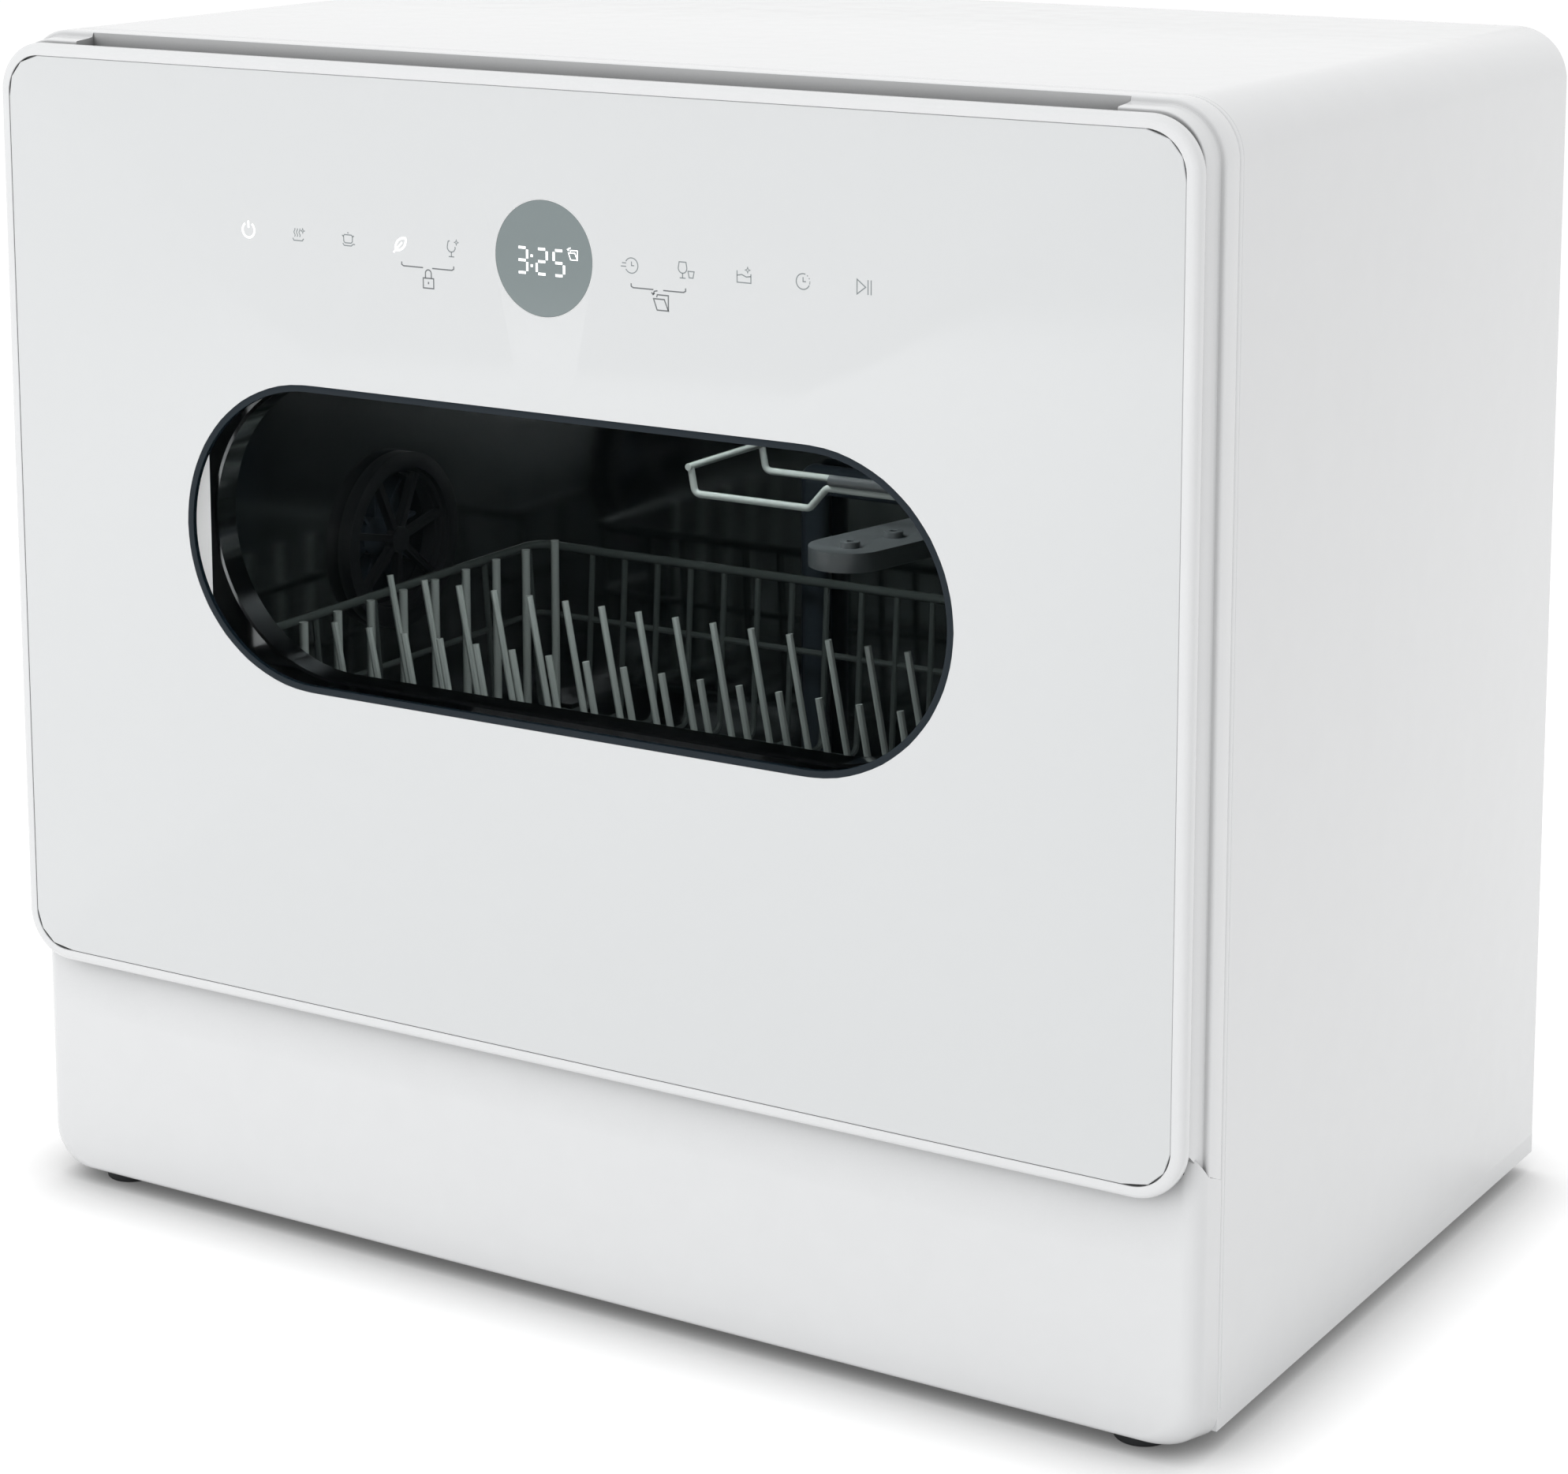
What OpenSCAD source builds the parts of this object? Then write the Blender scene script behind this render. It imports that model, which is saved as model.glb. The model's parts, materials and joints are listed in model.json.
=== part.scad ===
// Countertop dishwasher with a bottom-hinged door, a wire basket and two spray arms.
// Millimetres. +X right, the door faces -Y, +Z up; origin on the table under the middle of the box.
// Modules work in the cabinet's own frame, put in place by place(): y = 0 at the front seam of
// the steel wrap and z = 0 at the underside of the base.

/* [Cabinet] */
// Width of the cabinet
body_w = 550; // [520:1:600]
// Height of the cabinet without its feet
body_h = 491.5; // [488:0.5:520]
// Depth from the wrap's front seam to its back edge
body_d = 317.5; // [312:0.5:360]
// Radius of the cabinet's two top edges
wrap_r = 22; // [16:1:30]
// Thickness of the steel wrap
wrap_t = 1; // [0.6:0.1:1.6]
// Width of the folded hem on the wrap's front edge
hem_d = 3; // [2:0.5:5]
// Thickness of that folded hem
hem_t = 2.6; // [2:0.1:3.4]

/* [Base] */
// Height of the feet under the base
foot_h = 8.5; // [6:0.5:14]
// Height of the base tray's rim below the wrap
rim_h = 8; // [6:0.5:12]
// Thickness of the base tray's floor
tray_t = 2.5; // [2:0.1:3.5]
// How far the plinth stands in front of the wrap
plinth_d = 22; // [20:0.5:22.4]
// How far the plinth reaches below the base
plinth_drop = 3.2; // [0:0.1:4]
// Height of the plinth behind the door's lower edge
plinth_h = 104.5; // [102:0.5:104.8]
// Wall thickness of the plinth
plinth_t = 3; // [2:0.5:4]
// Radius of the plinth's lower corners seen from the front
plinth_r = 18; // [12:1:24]
// Sideways distance of the feet from the middle
foot_x = 245; // [220:1:252]
// Radius of a foot's pad
foot_r = 11; // [9:0.5:14]
// Radius of a foot's threaded stud
foot_stud_r = 4; // [3:0.5:5]

/* [Bezel] */
// Depth of the bezel's outer lip
lip_d = 14; // [12:0.5:16]
// Depth of the whole bezel
bezel_d = 24.5; // [23:0.5:24.8]
// How far the bezel's front band is set in from its lip
band_in = 2.5; // [1.5:0.5:4]
// Width of the bezel's side bars
bezel_w = 25; // [22:0.5:26]
// Height of the bezel's top bar
bezel_top = 10; // [8:0.5:11]
// Half length of the finger recess over the door
grip_x = 238; // [120:1:240]

/* [Door] */
// How far the door's face stands in front of the wrap
door_proud = 32.5; // [32:0.1:33]
// Height of the door's lower edge
door_z0 = 95.5; // [95.5:0.1:96]
// Gap from the cabinet's top down to the door's upper edge
door_top_gap = 4; // [3:0.5:8]
// Gap from the cabinet's side to the door's side
door_side_gap = 1.5; // [1:0.5:4]
// Thickness of the door's rim
rim_t = 7; // [7:0.1:7.2]
// Radius of the door's corners
door_r = 21; // [16:1:26]
// Width of the rim around the glass
rim_w = 5; // [4:0.5:8]
// Thickness of the front glass
glass_t = 2; // [1.6:0.1:2.1]
// Thickness of the plate behind the glass
backing_t = 2; // [1.6:0.1:3]
// Wall thickness of the door's inner box
core_t = 5; // [3:0.5:6]
// Thickness of the steel inner liner
liner_t = 1.9; // [1:0.1:2.4]

/* [Window and display] */
// Width of the window
win_w = 357.5; // [300:0.5:380]
// Height of the window
win_h = 126; // [100:1:130]
// How far the window's middle is above the door's middle
win_rise = 3.5; // [-1:0.5:9]
// Width of the dark ring around the window
win_ring = 2.8; // [2:0.1:5]
// Thickness of the inner pane
pane_t = 3; // [2:0.1:3.4]
// Diameter of the round display
display_d = 45.5; // [36:0.5:60]
// Distance of the display's middle below the door's upper edge
display_drop = 69.7; // [62:0.1:82]

/* [Hinge] */
// Height of the hinge axis
axis_z = 99.6; // [99.4:0.1:100]
// Distance of the hinge axis in front of the wrap
axis_y = 26.8; // [26.6:0.1:27]
// Radius of a hinge pin
pin_r = 1.4; // [1:0.1:1.6]
// Radius of the strap's eye
eye_r = 3; // [2.6:0.1:3]
// Width of a hinge strap
strap_w = 8; // [6:0.5:12]
// Thickness of a hinge strap
strap_t = 3; // [2.4:0.1:3]
// Sideways place of the straps
strap_x = 232; // [180:1:236]

/* [Wash chamber] */
// Gap between the tub's inner wall and the cabinet's side
tub_side_gap = 43; // [36:1:45]
// Inner depth of the tub
tub_d = 278; // [274:1:284]
// Height of the tub's floor
tub_z0 = 118; // [117:0.5:119]
// Gap from the cabinet's top down to the tub's ceiling
tub_top_gap = 19.5; // [18.5:0.5:25]
// Wall thickness of the tub
tub_t = 1.5; // [1:0.1:1.5]
// Radius of the tub's long inner corners
tub_r = 28; // [20:1:32]
// Width of the lip around the tub's mouth
mouth_in = 4; // [3:0.5:5]
// Height of the lip under the tub's mouth
mouth_z0 = 126; // [125:0.5:127]
// Width of the rubber seal
seal_w = 8; // [6:0.5:8]
// Thickness of the rubber seal
seal_t = 3.7; // [3:0.1:3.7]

/* [Basket] */
// Gap between the basket and the tub's side wall
basket_side_gap = 24; // [23:0.5:32]
// Front of the basket behind the wrap's seam
basket_y0 = 13; // [12:0.5:16]
// Gap between the basket and the tub's back wall
basket_back_gap = 24; // [22:1:38]
// Height of the basket's floor wires
basket_z0 = 152; // [152:0.5:154]
// Height of the basket's rim
basket_z1 = 228; // [210:1:232]
// Radius of the coated wires
wire_r = 1.5; // [1.2:0.1:1.8]
// Radius of the basket's rim wire
rim_wire_r = 2.2; // [1.8:0.1:2.6]
// Pitch of the plate tines
tine_pitch = 18.5; // [16:0.5:24]
// Lean of the plate tines from upright, in degrees
tine_lean = 11; // [0:1:14]
// Radius of the tine rows' turning rods
row_rod_r = 2; // [1.6:0.1:2.2]
// Radius of the basket's wheels
wheel_r = 9; // [8:0.5:9.5]

/* [Spray arms] */
// Reach of the lower spray arm from its axis
low_arm_r = 122; // [100:1:124]
// Reach of the middle spray arm from its axis
mid_arm_r = 98; // [70:1:100]
// Width of the arms
arm_w = 32; // [24:1:40]
// Thickness of the arms
arm_t = 8; // [6:0.5:9]

/* [Clearances] */
// Running clearance of a shaft in its hole
run_gap = 0.06; // [0.02:0.01:0.1]
// Gap between fixed pieces that lie together
fit_gap = 0.3; // [0.1:0.05:0.4]

/* [Hidden] */
$fn = 48;
wire_sides = 8;
white = "#e9ebec";
shade_white = "#dfe2e3";
steel = "#a9adb0";
dark = "#2a2d30";
slate = "#22303a";
wire_grey = "#6b7674";
plastic_grey = "#8d9496";
blue_grey = "#3b4a55";

hw = body_w / 2;
front_y = -(body_d - door_proud) / 2;
mate = 0.02;
eps = 0.5;
over = 1;

// Base
foot_front_y = -hem_d;
foot_back_in = 26;
foot_back_y = body_d - foot_back_in;
foot_stud_h = 14;
boss_r = foot_stud_r + 4;
boss_h = 16;
tray_rim_t = 3;
tray_tongue_y = 5.3;
tray_tongue_in = 11;
plinth_top = 113;
plinth_back_r = 8;
plinth_mid_y = 2.3;
plinth_mid_in = 2.3;
plinth_mid_up = 0.6;
plinth_face_in = 7;
plinth_face_up = 3;
plinth_slice = 0.5;
ledge_in = 12;
ledge_t = 3;
ledge_gap = 0.8;

// Door
door_hx = hw - door_side_gap;
door_z1 = body_h - door_top_gap;
rim_back = -door_proud + rim_t;
glass_set = 0.2;
glass_back = -door_proud + glass_set + glass_t;
backing_back = glass_back + backing_t;
rim_chamfer = 3;
rim_edge = 2.5;
glass_y0 = -door_proud + glass_set;
core_hx = hw - bezel_w - 6;
core_z0 = mouth_z0 - 11.5;
tub_w = body_w - 2 * tub_side_gap;
tub_z1 = body_h - tub_top_gap;
mouth_z1 = tub_z1 - 6;
boss_x = [-150, -60, 60, 150];
boss_rise = 14;
board_boss_r = 3;
board_boss_h = 3;
core_z1 = mouth_z1 + seal_w + 4;
liner_y0 = -seal_t - fit_gap - liner_t;
liner_y1 = liner_y0 + liner_t;
core_r = 20;

// Window and display
win_z = (door_z0 + door_z1) / 2 + win_rise;
display_z = door_z1 - display_drop;
lens_seat = 2.5;
pane_seat = 1.5;
board_hx = 165;
board_hz = 18;
board_t = 1.6;
module_hx = 15;
module_hz = 11;
key_x = [-120, -90, 90, 120];
key_r = 6;
win_r = win_h / 2;
win_hw = win_w / 2;
tunnel_t = 3;
pane_y0 = backing_back + 9.7;
pane_y1 = pane_y0 + pane_t;
lens_r = display_d / 2;

// Dispenser
disp_hx = 72;
disp_z0 = 130;
disp_gap = 22;
disp_z1 = win_z - win_h / 2 - disp_gap;
disp_face = liner_y1 + 1.1;
lid_x0 = -64;
lid_x1 = 2;
lid_t = 1.4;
lid_in = 8;
cup_wall = 2;
cup_in = 3;
grip_w = 4;
grip_hz = 18;
cup_y = -20;
cap_x = 38;
cap_z = (disp_z0 + disp_z1) / 2;
cap_r = 17;
cap_stem_r = 8;

// Tub
mouth_hx = tub_w / 2 - mouth_in;
mouth_r = 24;
flange_hx = mouth_hx + 30;
flange_z0 = mouth_z0 - 20;
flange_z1 = mouth_z1 + 18;
flange_t = 1.5;
seal_in = 2;
seal_r = mouth_r + seal_in;
arm_x = 0;
arm_y = tub_d / 2 + 1;
hub_wall = 3;
sump_x = 100;
sump_back = 50;
sump_y = arm_y + sump_back;
sump_r = 48;
salt_x = -155;
salt_in = 73;
salt_y = tub_d - salt_in;
salt_r = 24;
float_x = -150;
float_y = 60;
float_stem_r = 4;
vent_in = 105;
vent_y = tub_d - vent_in;
vent_z = 243;
vent_r = 41;
duct_r = vent_r - 6;

// Bezel
open_hx = hw - bezel_w;
open_z0 = mouth_z0 - 14;
open_z1 = body_h - bezel_top;
pocket_hx = hw - 7;
open_r = 18;
pocket_y = -4.5;
pocket_rise = 7;
pocket_low = 80;
lip_edge = 2.5;
lip_face = 0.5;
tongue_t = 6;
grip_h = 16;
grip_y = -lip_d + 0.2;
seam_gap = 0.3;
seam = [[-hem_d, 97.3], [-8, 98.5], [-13.5, 101.8], [-17.5, 106.5], [-plinth_d, 112]];

// Hinge
strap_y0 = -axis_y - strap_t / 2;
strap_z1 = axis_z + eye_r + 5.6;
notch_y0 = -axis_y - eye_r - 0.1;
notch_z1 = strap_z1 + 1.4;
notch_w = strap_w + 2;
leg_y1 = -5.2;
leg_z0 = 50;
beam_y1 = -2;
beam_foot = 12;
beam_foot_t = 2;

// Catch
catch_y = -5;
catch_z = open_z1 + 5.5;
catch_pin_r = 1;
catch_roll_r = 1.8;
catch_pin_hx = 15;
catch_hx = 5;
catch_plate_t = 2.4;
catch_plate_y = 6.4;
catch_roll_y = 4.5;
catch_roll_z = 4.8;
catch_arm_t = 2;
catch_room_hx = 12;

// Spray
hub_r = 7;
arm_z0 = tub_z0 + 14;
mid_x = 85;
mid_back = 20;
mid_y = arm_y + mid_back;
mid_z0 = 285;
mid_turn = 78;
mid_pin_r = 6;
hub_collar = 4;
hub_bore = 4.5;
jet_count = 3;
jet_pitch = 26;
jet_in = 14;
jet_side = 3;
jet_r = 4;
jet_bore = 1.5;
pipe_foot_z = 104;
pipe_sides = 24;
sump_bottom = 56;
sump_t = 2.5;
sump_lip = 5;
sump_port_r = 9;
sump_port = 8;
plate_t = 1;
filter_r = 31;
filter_z0 = 62;
filter_t = 2;
filter_flange_r = 36;
pipe_r = 7;
elbow_swell = 0.3;
pipe_x = -62;
pipe_y = tub_d - pipe_r - 0.5;
pipe_z = mid_z0 - 13;
wheel_z = basket_z0 - 1.5;
rail_z = wheel_z - wheel_r - fit_gap;

// Cup shelf
shelf_x = tub_w / 2 - 8;
shelf_z = 318;
shelf_rod_r = 1.6;
shelf_tip = 8;
shelf_y0 = 60;
shelf_y1 = 222;
thick_rod_r = 2.3;
thick_rod_x = 72;
shelf_pitch = 54;
shelf_elbow = 12;
shelf_rise = 2;
shelf_dip = 9;
dip_x0 = 62;
dip_x1 = 70;
shelf_cross_x = [shelf_tip - 2, 116, 165];
bracket_w = 14;
bracket_in = 20;

// Basket
bx = tub_w / 2 - basket_side_gap;
basket_y1 = tub_d - basket_back_gap;
row_z = basket_z0 + wire_r + row_rod_r + 1.5;
row_front_y = basket_y0 + 30;
row_pitch = 42;
row_back_y = row_front_y + row_pitch;
row_x0 = -8 * tine_pitch;
basket_low = basket_z0 + 44;
rim_slope = 26;
side_in = 6;
weld = 2.4;
cup_weld = 2.6;
cup_tine_r = 2;
cup_x = -bx + 29.5;
wheel_front_y = row_back_y;
wheel_back_in = 43;
wheel_back_y = basket_y1 - wheel_back_in;
cross_in = 7;
third_y = row_back_y + row_pitch;
cross_y = [basket_y0 + cross_in, row_front_y, row_back_y, third_y, (third_y + wheel_back_y) / 2, wheel_back_y,
    basket_y1 - cross_in];
row_count = 18;
front_tine = 84;
back_tine = 96;
wheel_w = 6;
wheel_in = 3;
cup_count = 10;
cup_pitch = 23.3;
cup_top = 11;
wire_in = 2;
floor_count = 20;
floor_bend = 5;
row_end = 12;
clip_w = 4.8;
clip_d = 10;
clip_x = 4.9;
clip_top = 4;
rail_t = 2.5;
rail_end = 6;
rail_sink = 1.2;
axle_r = 2.5;

// Base machinery
volute_r = 34;
pump_z = 66;
niche_x0 = 96;
niche_x1 = 240;
niche_z0 = 22;
niche_z1 = 90;
panel_in = 3.2;
panel_y = body_d - panel_in;
panel_t = 1;
screw_r = 2;
screw_head_r = 4;
screw_head_t = 1.6;
screw_in = 12;
screw_z = [40, 200, 330, body_h - 41.5];
screw_top_x = 90;
slot_x0 = -200;
slot_x1 = -120;
slot_z0 = 330;
slot_h = 5;
slot_pitch = 12;
slot_count = 8;
niche_t = 2;
niche_rim = 6;
niche_d = 26;
niche_y0 = panel_y - niche_d;
port_z = (niche_z0 + niche_z1) / 2;
inlet_in = 33;
port_pitch = 47;
power_pitch = 38;
inlet_x = niche_x0 + inlet_in;
drain_x = inlet_x + port_pitch;
power_x = drain_x + power_pitch;
inlet_r = 13.2;
drain_r = 10;
valve_hx = 20;
valve_hz = 18;
valve_d = 34;
coil_r = 11;
coil_h = 17;
tail_r = 7;
tail_h = 10;
tail_bore = 5;
spigot_bore_in = 4;
drain_wall = 2;
drain_tail = 14;
drain_flange = 4;
socket_hx = 14;
socket_hz = 12;
socket_wall = 2;
socket_d = 12;
socket_out = 8;
socket_flange = 3;
socket_pins = [[0, 3.5], [-7, -3], [7, -3]];
pin_hx = 1.2;
pin_hz = 2;
fan_wall = 4;
fan_d = 26;
fan_shaft_r = 2;
fan_hub_r = 9;
fan_motor_r = 15;
fan_motor_h = 10;
fan_inner_gap = 1.5;
fan_z0 = 8;
fan_hub_h = 12;
fan_shaft_h = 23;
fan_disc_z = 10;
fan_disc_t = 2;
fan_blade_h = 11;
fan_mouth = 9;
fan_outlet_hw = 8;
blade_t = 1.6;
softener_left = 55;
softener_right = 60;
softener_front = 50;
softener_back = 52;
softener_x0 = salt_x - softener_left;
softener_x1 = salt_x + softener_right;
softener_y0 = salt_y - softener_front;
softener_y1 = salt_y + softener_back;
softener_top = 5.5;
softener_z0 = 14;
softener_leg_r = 5;
softener_leg_x = 45;
softener_leg_y = 40;
pump_top = 100;
motor_z0 = 22;
pump_wall = 3;
pump_shaft_r = 3;
pump_leg_r = 4;
drain_pump_r = 20;
drain_motor_r = 16;
drain_pump_w = 24;
drain_motor_w = 35;
board_in = 23;
board_w = 107;
board_d = 102;
board_x1 = hw - board_in;
board_x0 = board_x1 - board_w;
board_y0 = 24;
board_y1 = board_y0 + board_d;
board_part_x = [25, 55, 83];
board_part_y = [24, 66];
board_part_hx = 8;
board_part_h = 20;
box_leg_r = 4;
box_pin_r = 2.5;
board_z0 = 8;
board_h = 42;
box_t = 3;
box_leg_in = 9;
hose_r = 6;
hose_end_in = 13;
hose_y = softener_y1 - hose_end_in;
hose_z = 40;
hose_bend = 2.3;
hose_bend_x = 30;
hose_mid_x = -60;
neck_in = 1;
neck_y1 = niche_y0 + 4.2;
spigot_y1 = panel_y - 3;

// Puts the cabinet's own frame into the part's frame.
module place() translate([0, front_y, foot_h]) children();

// A shape drawn in x and z, given a depth from y0 to y1.
module slab(y0, y1) translate([0, y1, 0]) rotate([90, 0, 0]) linear_extrude(y1 - y0) children();

// A shape drawn in y and z, given a width from x0 to x1.
module across(x0, x1) translate([x0, 0, 0]) rotate([90, 0, 90]) linear_extrude(x1 - x0) children();

// A rectangle on the middle line with its own radius at the top and the bottom corners.
module panel(hx, z0, z1, r_top, r_low = 0) {
    translate([-hx, z0 + r_low]) square([2 * hx, z1 - z0 - r_top - r_low]);
    translate([-hx + r_top, z0 + r_low]) square([2 * (hx - r_top), z1 - z0 - r_low]);
    translate([-hx + r_low, z0]) square([2 * (hx - r_low), z1 - z0 - r_top]);
    for (s = [-1, 1]) {
        translate([s * (hx - r_top), z1 - r_top]) circle(r_top);
        if (r_low > 0) translate([s * (hx - r_low), z0 + r_low]) circle(r_low);
    }
}

// A slot shape with round ends, as wide as 2 * half_w and as high as 2 * r.
module stadium(half_w, r) {
    square([2 * (half_w - r), 2 * r], center = true);
    for (s = [-1, 1]) translate([s * (half_w - r), 0]) circle(r);
}

module window_shape(grow = 0) translate([0, win_z]) stadium(win_hw + grow, win_r + grow);

// A straight wire from a to b.
module rod(a, b, r, sides = wire_sides, turn = 0) {
    v = b - a;
    translate(a) rotate([0, acos(v.z / norm(v)), atan2(v.y, v.x)]) rotate([0, 0, turn])
        cylinder(h = norm(v), r = r, $fn = sides);
}

// Wires that run on from point to point, past their corners; every second one is turned by half a side.
module wire(points, r, sides = wire_sides) {
    for (i = [0 : len(points) - 2]) {
        u = (points[i + 1] - points[i]) / norm(points[i + 1] - points[i]);
        rod(points[i] - u * r * 0.7, points[i + 1] + u * r * 0.7, r, sides, i % 2 * 180 / sides);
    }
}

// A round bar along x, y or z.
module bar_x(x0, x1, y, z, r) translate([x0, y, z]) rotate([0, 90, 0]) cylinder(h = x1 - x0, r = r);
module bar_y(y0, y1, x, z, r) translate([x, y1, z]) rotate([90, 0, 0]) cylinder(h = y1 - y0, r = r);
module bar_z(z0, z1, x, y, r) translate([x, y, z0]) cylinder(h = z1 - z0, r = r);

// A block between two corners.
module block(a, b) translate(a) cube(b - a);

// Cabinet

module base_tray() color(white) place() difference() {
    union() {
        block([-hw, -hem_d, 0], [hw, body_d, tray_t]);
        block([-hw + tray_tongue_in, -plinth_d + tray_tongue_y, 0],
            [hw - tray_tongue_in, -hem_d + eps, tray_t]);
        for (x = [-hw, hw - tray_rim_t]) block([x, -hem_d, 0], [x + tray_rim_t, body_d, rim_h]);
        block([-hw, body_d - tray_rim_t, 0], [hw, body_d, rim_h]);
        foot_places() cylinder(h = boss_h, r = boss_r);
    }
    foot_places() translate([0, 0, -over]) cylinder(h = boss_h + 2 * over, r = foot_stud_r + run_gap);
}

module foot_places() for (s = [-1, 1], y = [foot_front_y, foot_back_y])
    translate([s * foot_x, y, 0]) children();

// A levelling foot: a pad on a threaded stud.
module foot(side, y) color(dark) place() translate([side * foot_x, y, 0]) {
    translate([0, 0, -foot_h]) cylinder(h = foot_h - fit_gap, r = foot_r);
    translate([0, 0, -over]) cylinder(h = foot_stud_h, r = foot_stud_r);
}

module foot_front_left() foot(-1, foot_front_y);
module foot_front_right() foot(1, foot_front_y);
module foot_back_left() foot(-1, foot_back_y);
module foot_back_right() foot(1, foot_back_y);

// The plinth's rounded block; in shrinks it for the inside.
module plinth_body(in) hull() {
    low = -plinth_drop - in;
    face = -plinth_d + in;
    mid = face + plinth_mid_y;
    slab(-plinth_d * 0.55, -hem_d + in) panel(hw - in, low, plinth_top, mate, plinth_back_r);
    slab(mid, mid + plinth_slice)
        panel(hw - plinth_mid_in - in, low + plinth_mid_up, plinth_top, mate, plinth_r * 0.7);
    slab(face, face + plinth_slice)
        panel(hw - plinth_face_in - in, low + plinth_face_up, plinth_top, mate, plinth_r);
}

module plinth() color(white) place() {
    difference() {
        plinth_body(0);
        plinth_body(plinth_t);
        across(-hw - over, hw + over) polygon(concat(seam, [[-plinth_d - over, seam[4].y],
            [-plinth_d - over, plinth_top + over], [over, plinth_top + over], [over, seam[0].y]]));
        block([-pocket_hx, -plinth_d - over, plinth_h], [pocket_hx, over, plinth_top + over]);
    }
    block([-hw + ledge_in, -plinth_d + ledge_t - over, plinth_h - ledge_t],
        [hw - ledge_in, leg_y1 - strap_t - ledge_gap, plinth_h]);
}

module bezel() color(shade_white) place() difference() {
    union() {
        hull() {
            slab(-lip_d + lip_edge, -hem_d) panel(hw, pocket_low + over, body_h, wrap_r);
            slab(-lip_d, -lip_d + lip_face) panel(hw - 1, pocket_low + over, body_h - 1, wrap_r - 1);
        }
        slab(-bezel_d, -lip_d + eps) panel(hw - band_in, pocket_low + over, body_h - band_in, wrap_r - band_in);
        slab(-hem_d - eps, tongue_t)
            panel(hw - hem_t - fit_gap, pocket_low + over, body_h - hem_t - fit_gap, wrap_r - hem_t);
    }
    slab(-mate, tongue_t + over) panel(hw - tongue_t, pocket_low, body_h - tongue_t, wrap_r - tongue_t + 1);
    slab(-bezel_d - over, over) panel(open_hx, open_z0, open_z1, open_r);
    // the joint with the plinth
    across(-hw - over, hw + over) polygon([[-bezel_d - over, pocket_low], [tongue_t + over, pocket_low],
        [tongue_t + over, seam[0].y + seam_gap], for (p = seam) [p.x, p.y + seam_gap],
        [-bezel_d - over, seam[4].y + seam_gap + 2]]);
    // room for the door's lower edge and its hinges
    block([-pocket_hx, -bezel_d - over, pocket_low], [pocket_hx, pocket_y, open_z0]);
    block([-pocket_hx, pocket_y - eps, pocket_low], [pocket_hx, tongue_t + over, open_z0 - pocket_rise]);
    // finger recess, and the catch's pocket with its pin
    block([-grip_x, -bezel_d - over, open_z1 - grip_h], [grip_x, grip_y, body_h + over]);
    block([-catch_room_hx, -lip_d + 1.5, open_z1 - over], [catch_room_hx, -hem_d - 0.4, body_h - 1.8]);
    bar_x(-catch_pin_hx - over, catch_pin_hx + over, catch_y, catch_z, catch_pin_r + run_gap);
}

module wrap_outline(t) panel(hw - t, rim_h, body_h - t, wrap_r - t);

// The wrap's inside at thickness t, open at the bottom.
module wrap_inside(t) translate([0, -over]) panel(hw - t, rim_h - over, body_h - t + over, wrap_r - t);

module outer_wrap() color(white) place() {
    difference() {
        slab(-hem_d, 0) wrap_outline(0);
        slab(-hem_d - over, over) wrap_inside(hem_t);
    }
    difference() {
        slab(-mate, body_d) wrap_outline(0);
        slab(-over, body_d + over) wrap_inside(wrap_t);
    }
}

module back_panel() color(steel) place() difference() {
    slab(panel_y, panel_y + panel_t)
        panel(hw - wrap_t - fit_gap, rim_h + fit_gap, body_h - wrap_t - fit_gap, wrap_r - wrap_t);
    block([niche_x0, panel_y - over, niche_z0], [niche_x1, panel_y + panel_t + over, niche_z1]);
    for (i = [0 : slot_count - 1]) block([slot_x0, panel_y - over, slot_z0 + i * slot_pitch],
        [slot_x1, panel_y + panel_t + over, slot_z0 + i * slot_pitch + slot_h]);
    screw_places() bar_y(panel_y - over, panel_y + panel_t + over, 0, 0, screw_r + mate);
}

module screw_places() {
    for (s = [-1, 1], z = screw_z) translate([s * (hw - screw_in), 0, z]) children();
    for (s = [-1, 1]) translate([s * screw_top_x, 0, body_h - screw_in]) children();
}

module back_screws() color(dark) place() screw_places() {
    bar_y(panel_y - 6, panel_y + panel_t + eps, 0, 0, screw_r);
    bar_y(panel_y + panel_t, panel_y + panel_t + screw_head_t, 0, 0, screw_head_r);
}

module connector_niche() color(dark) place() difference() {
    union() {
        block([niche_x0, niche_y0, niche_z0], [niche_x1, panel_y + panel_t, niche_z1]);
        block([niche_x0 - niche_rim, panel_y - niche_t, niche_z0 - niche_rim],
            [niche_x1 + niche_rim, panel_y, niche_z1 + niche_rim]);
    }
    block([niche_x0 + niche_t, niche_y0 + niche_t, niche_z0 + niche_t],
        [niche_x1 - niche_t, panel_y + panel_t + over, niche_z1 - niche_t]);
    bar_y(niche_y0 - over, niche_y0 + niche_t + over, inlet_x, port_z, inlet_r + mate);
    bar_y(niche_y0 - over, niche_y0 + niche_t + over, drain_x, port_z, drain_r + mate);
    block([power_x - socket_hx, niche_y0 - over, port_z - socket_hz],
        [power_x + socket_hx, niche_y0 + niche_t + over, port_z + socket_hz]);
}

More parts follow.
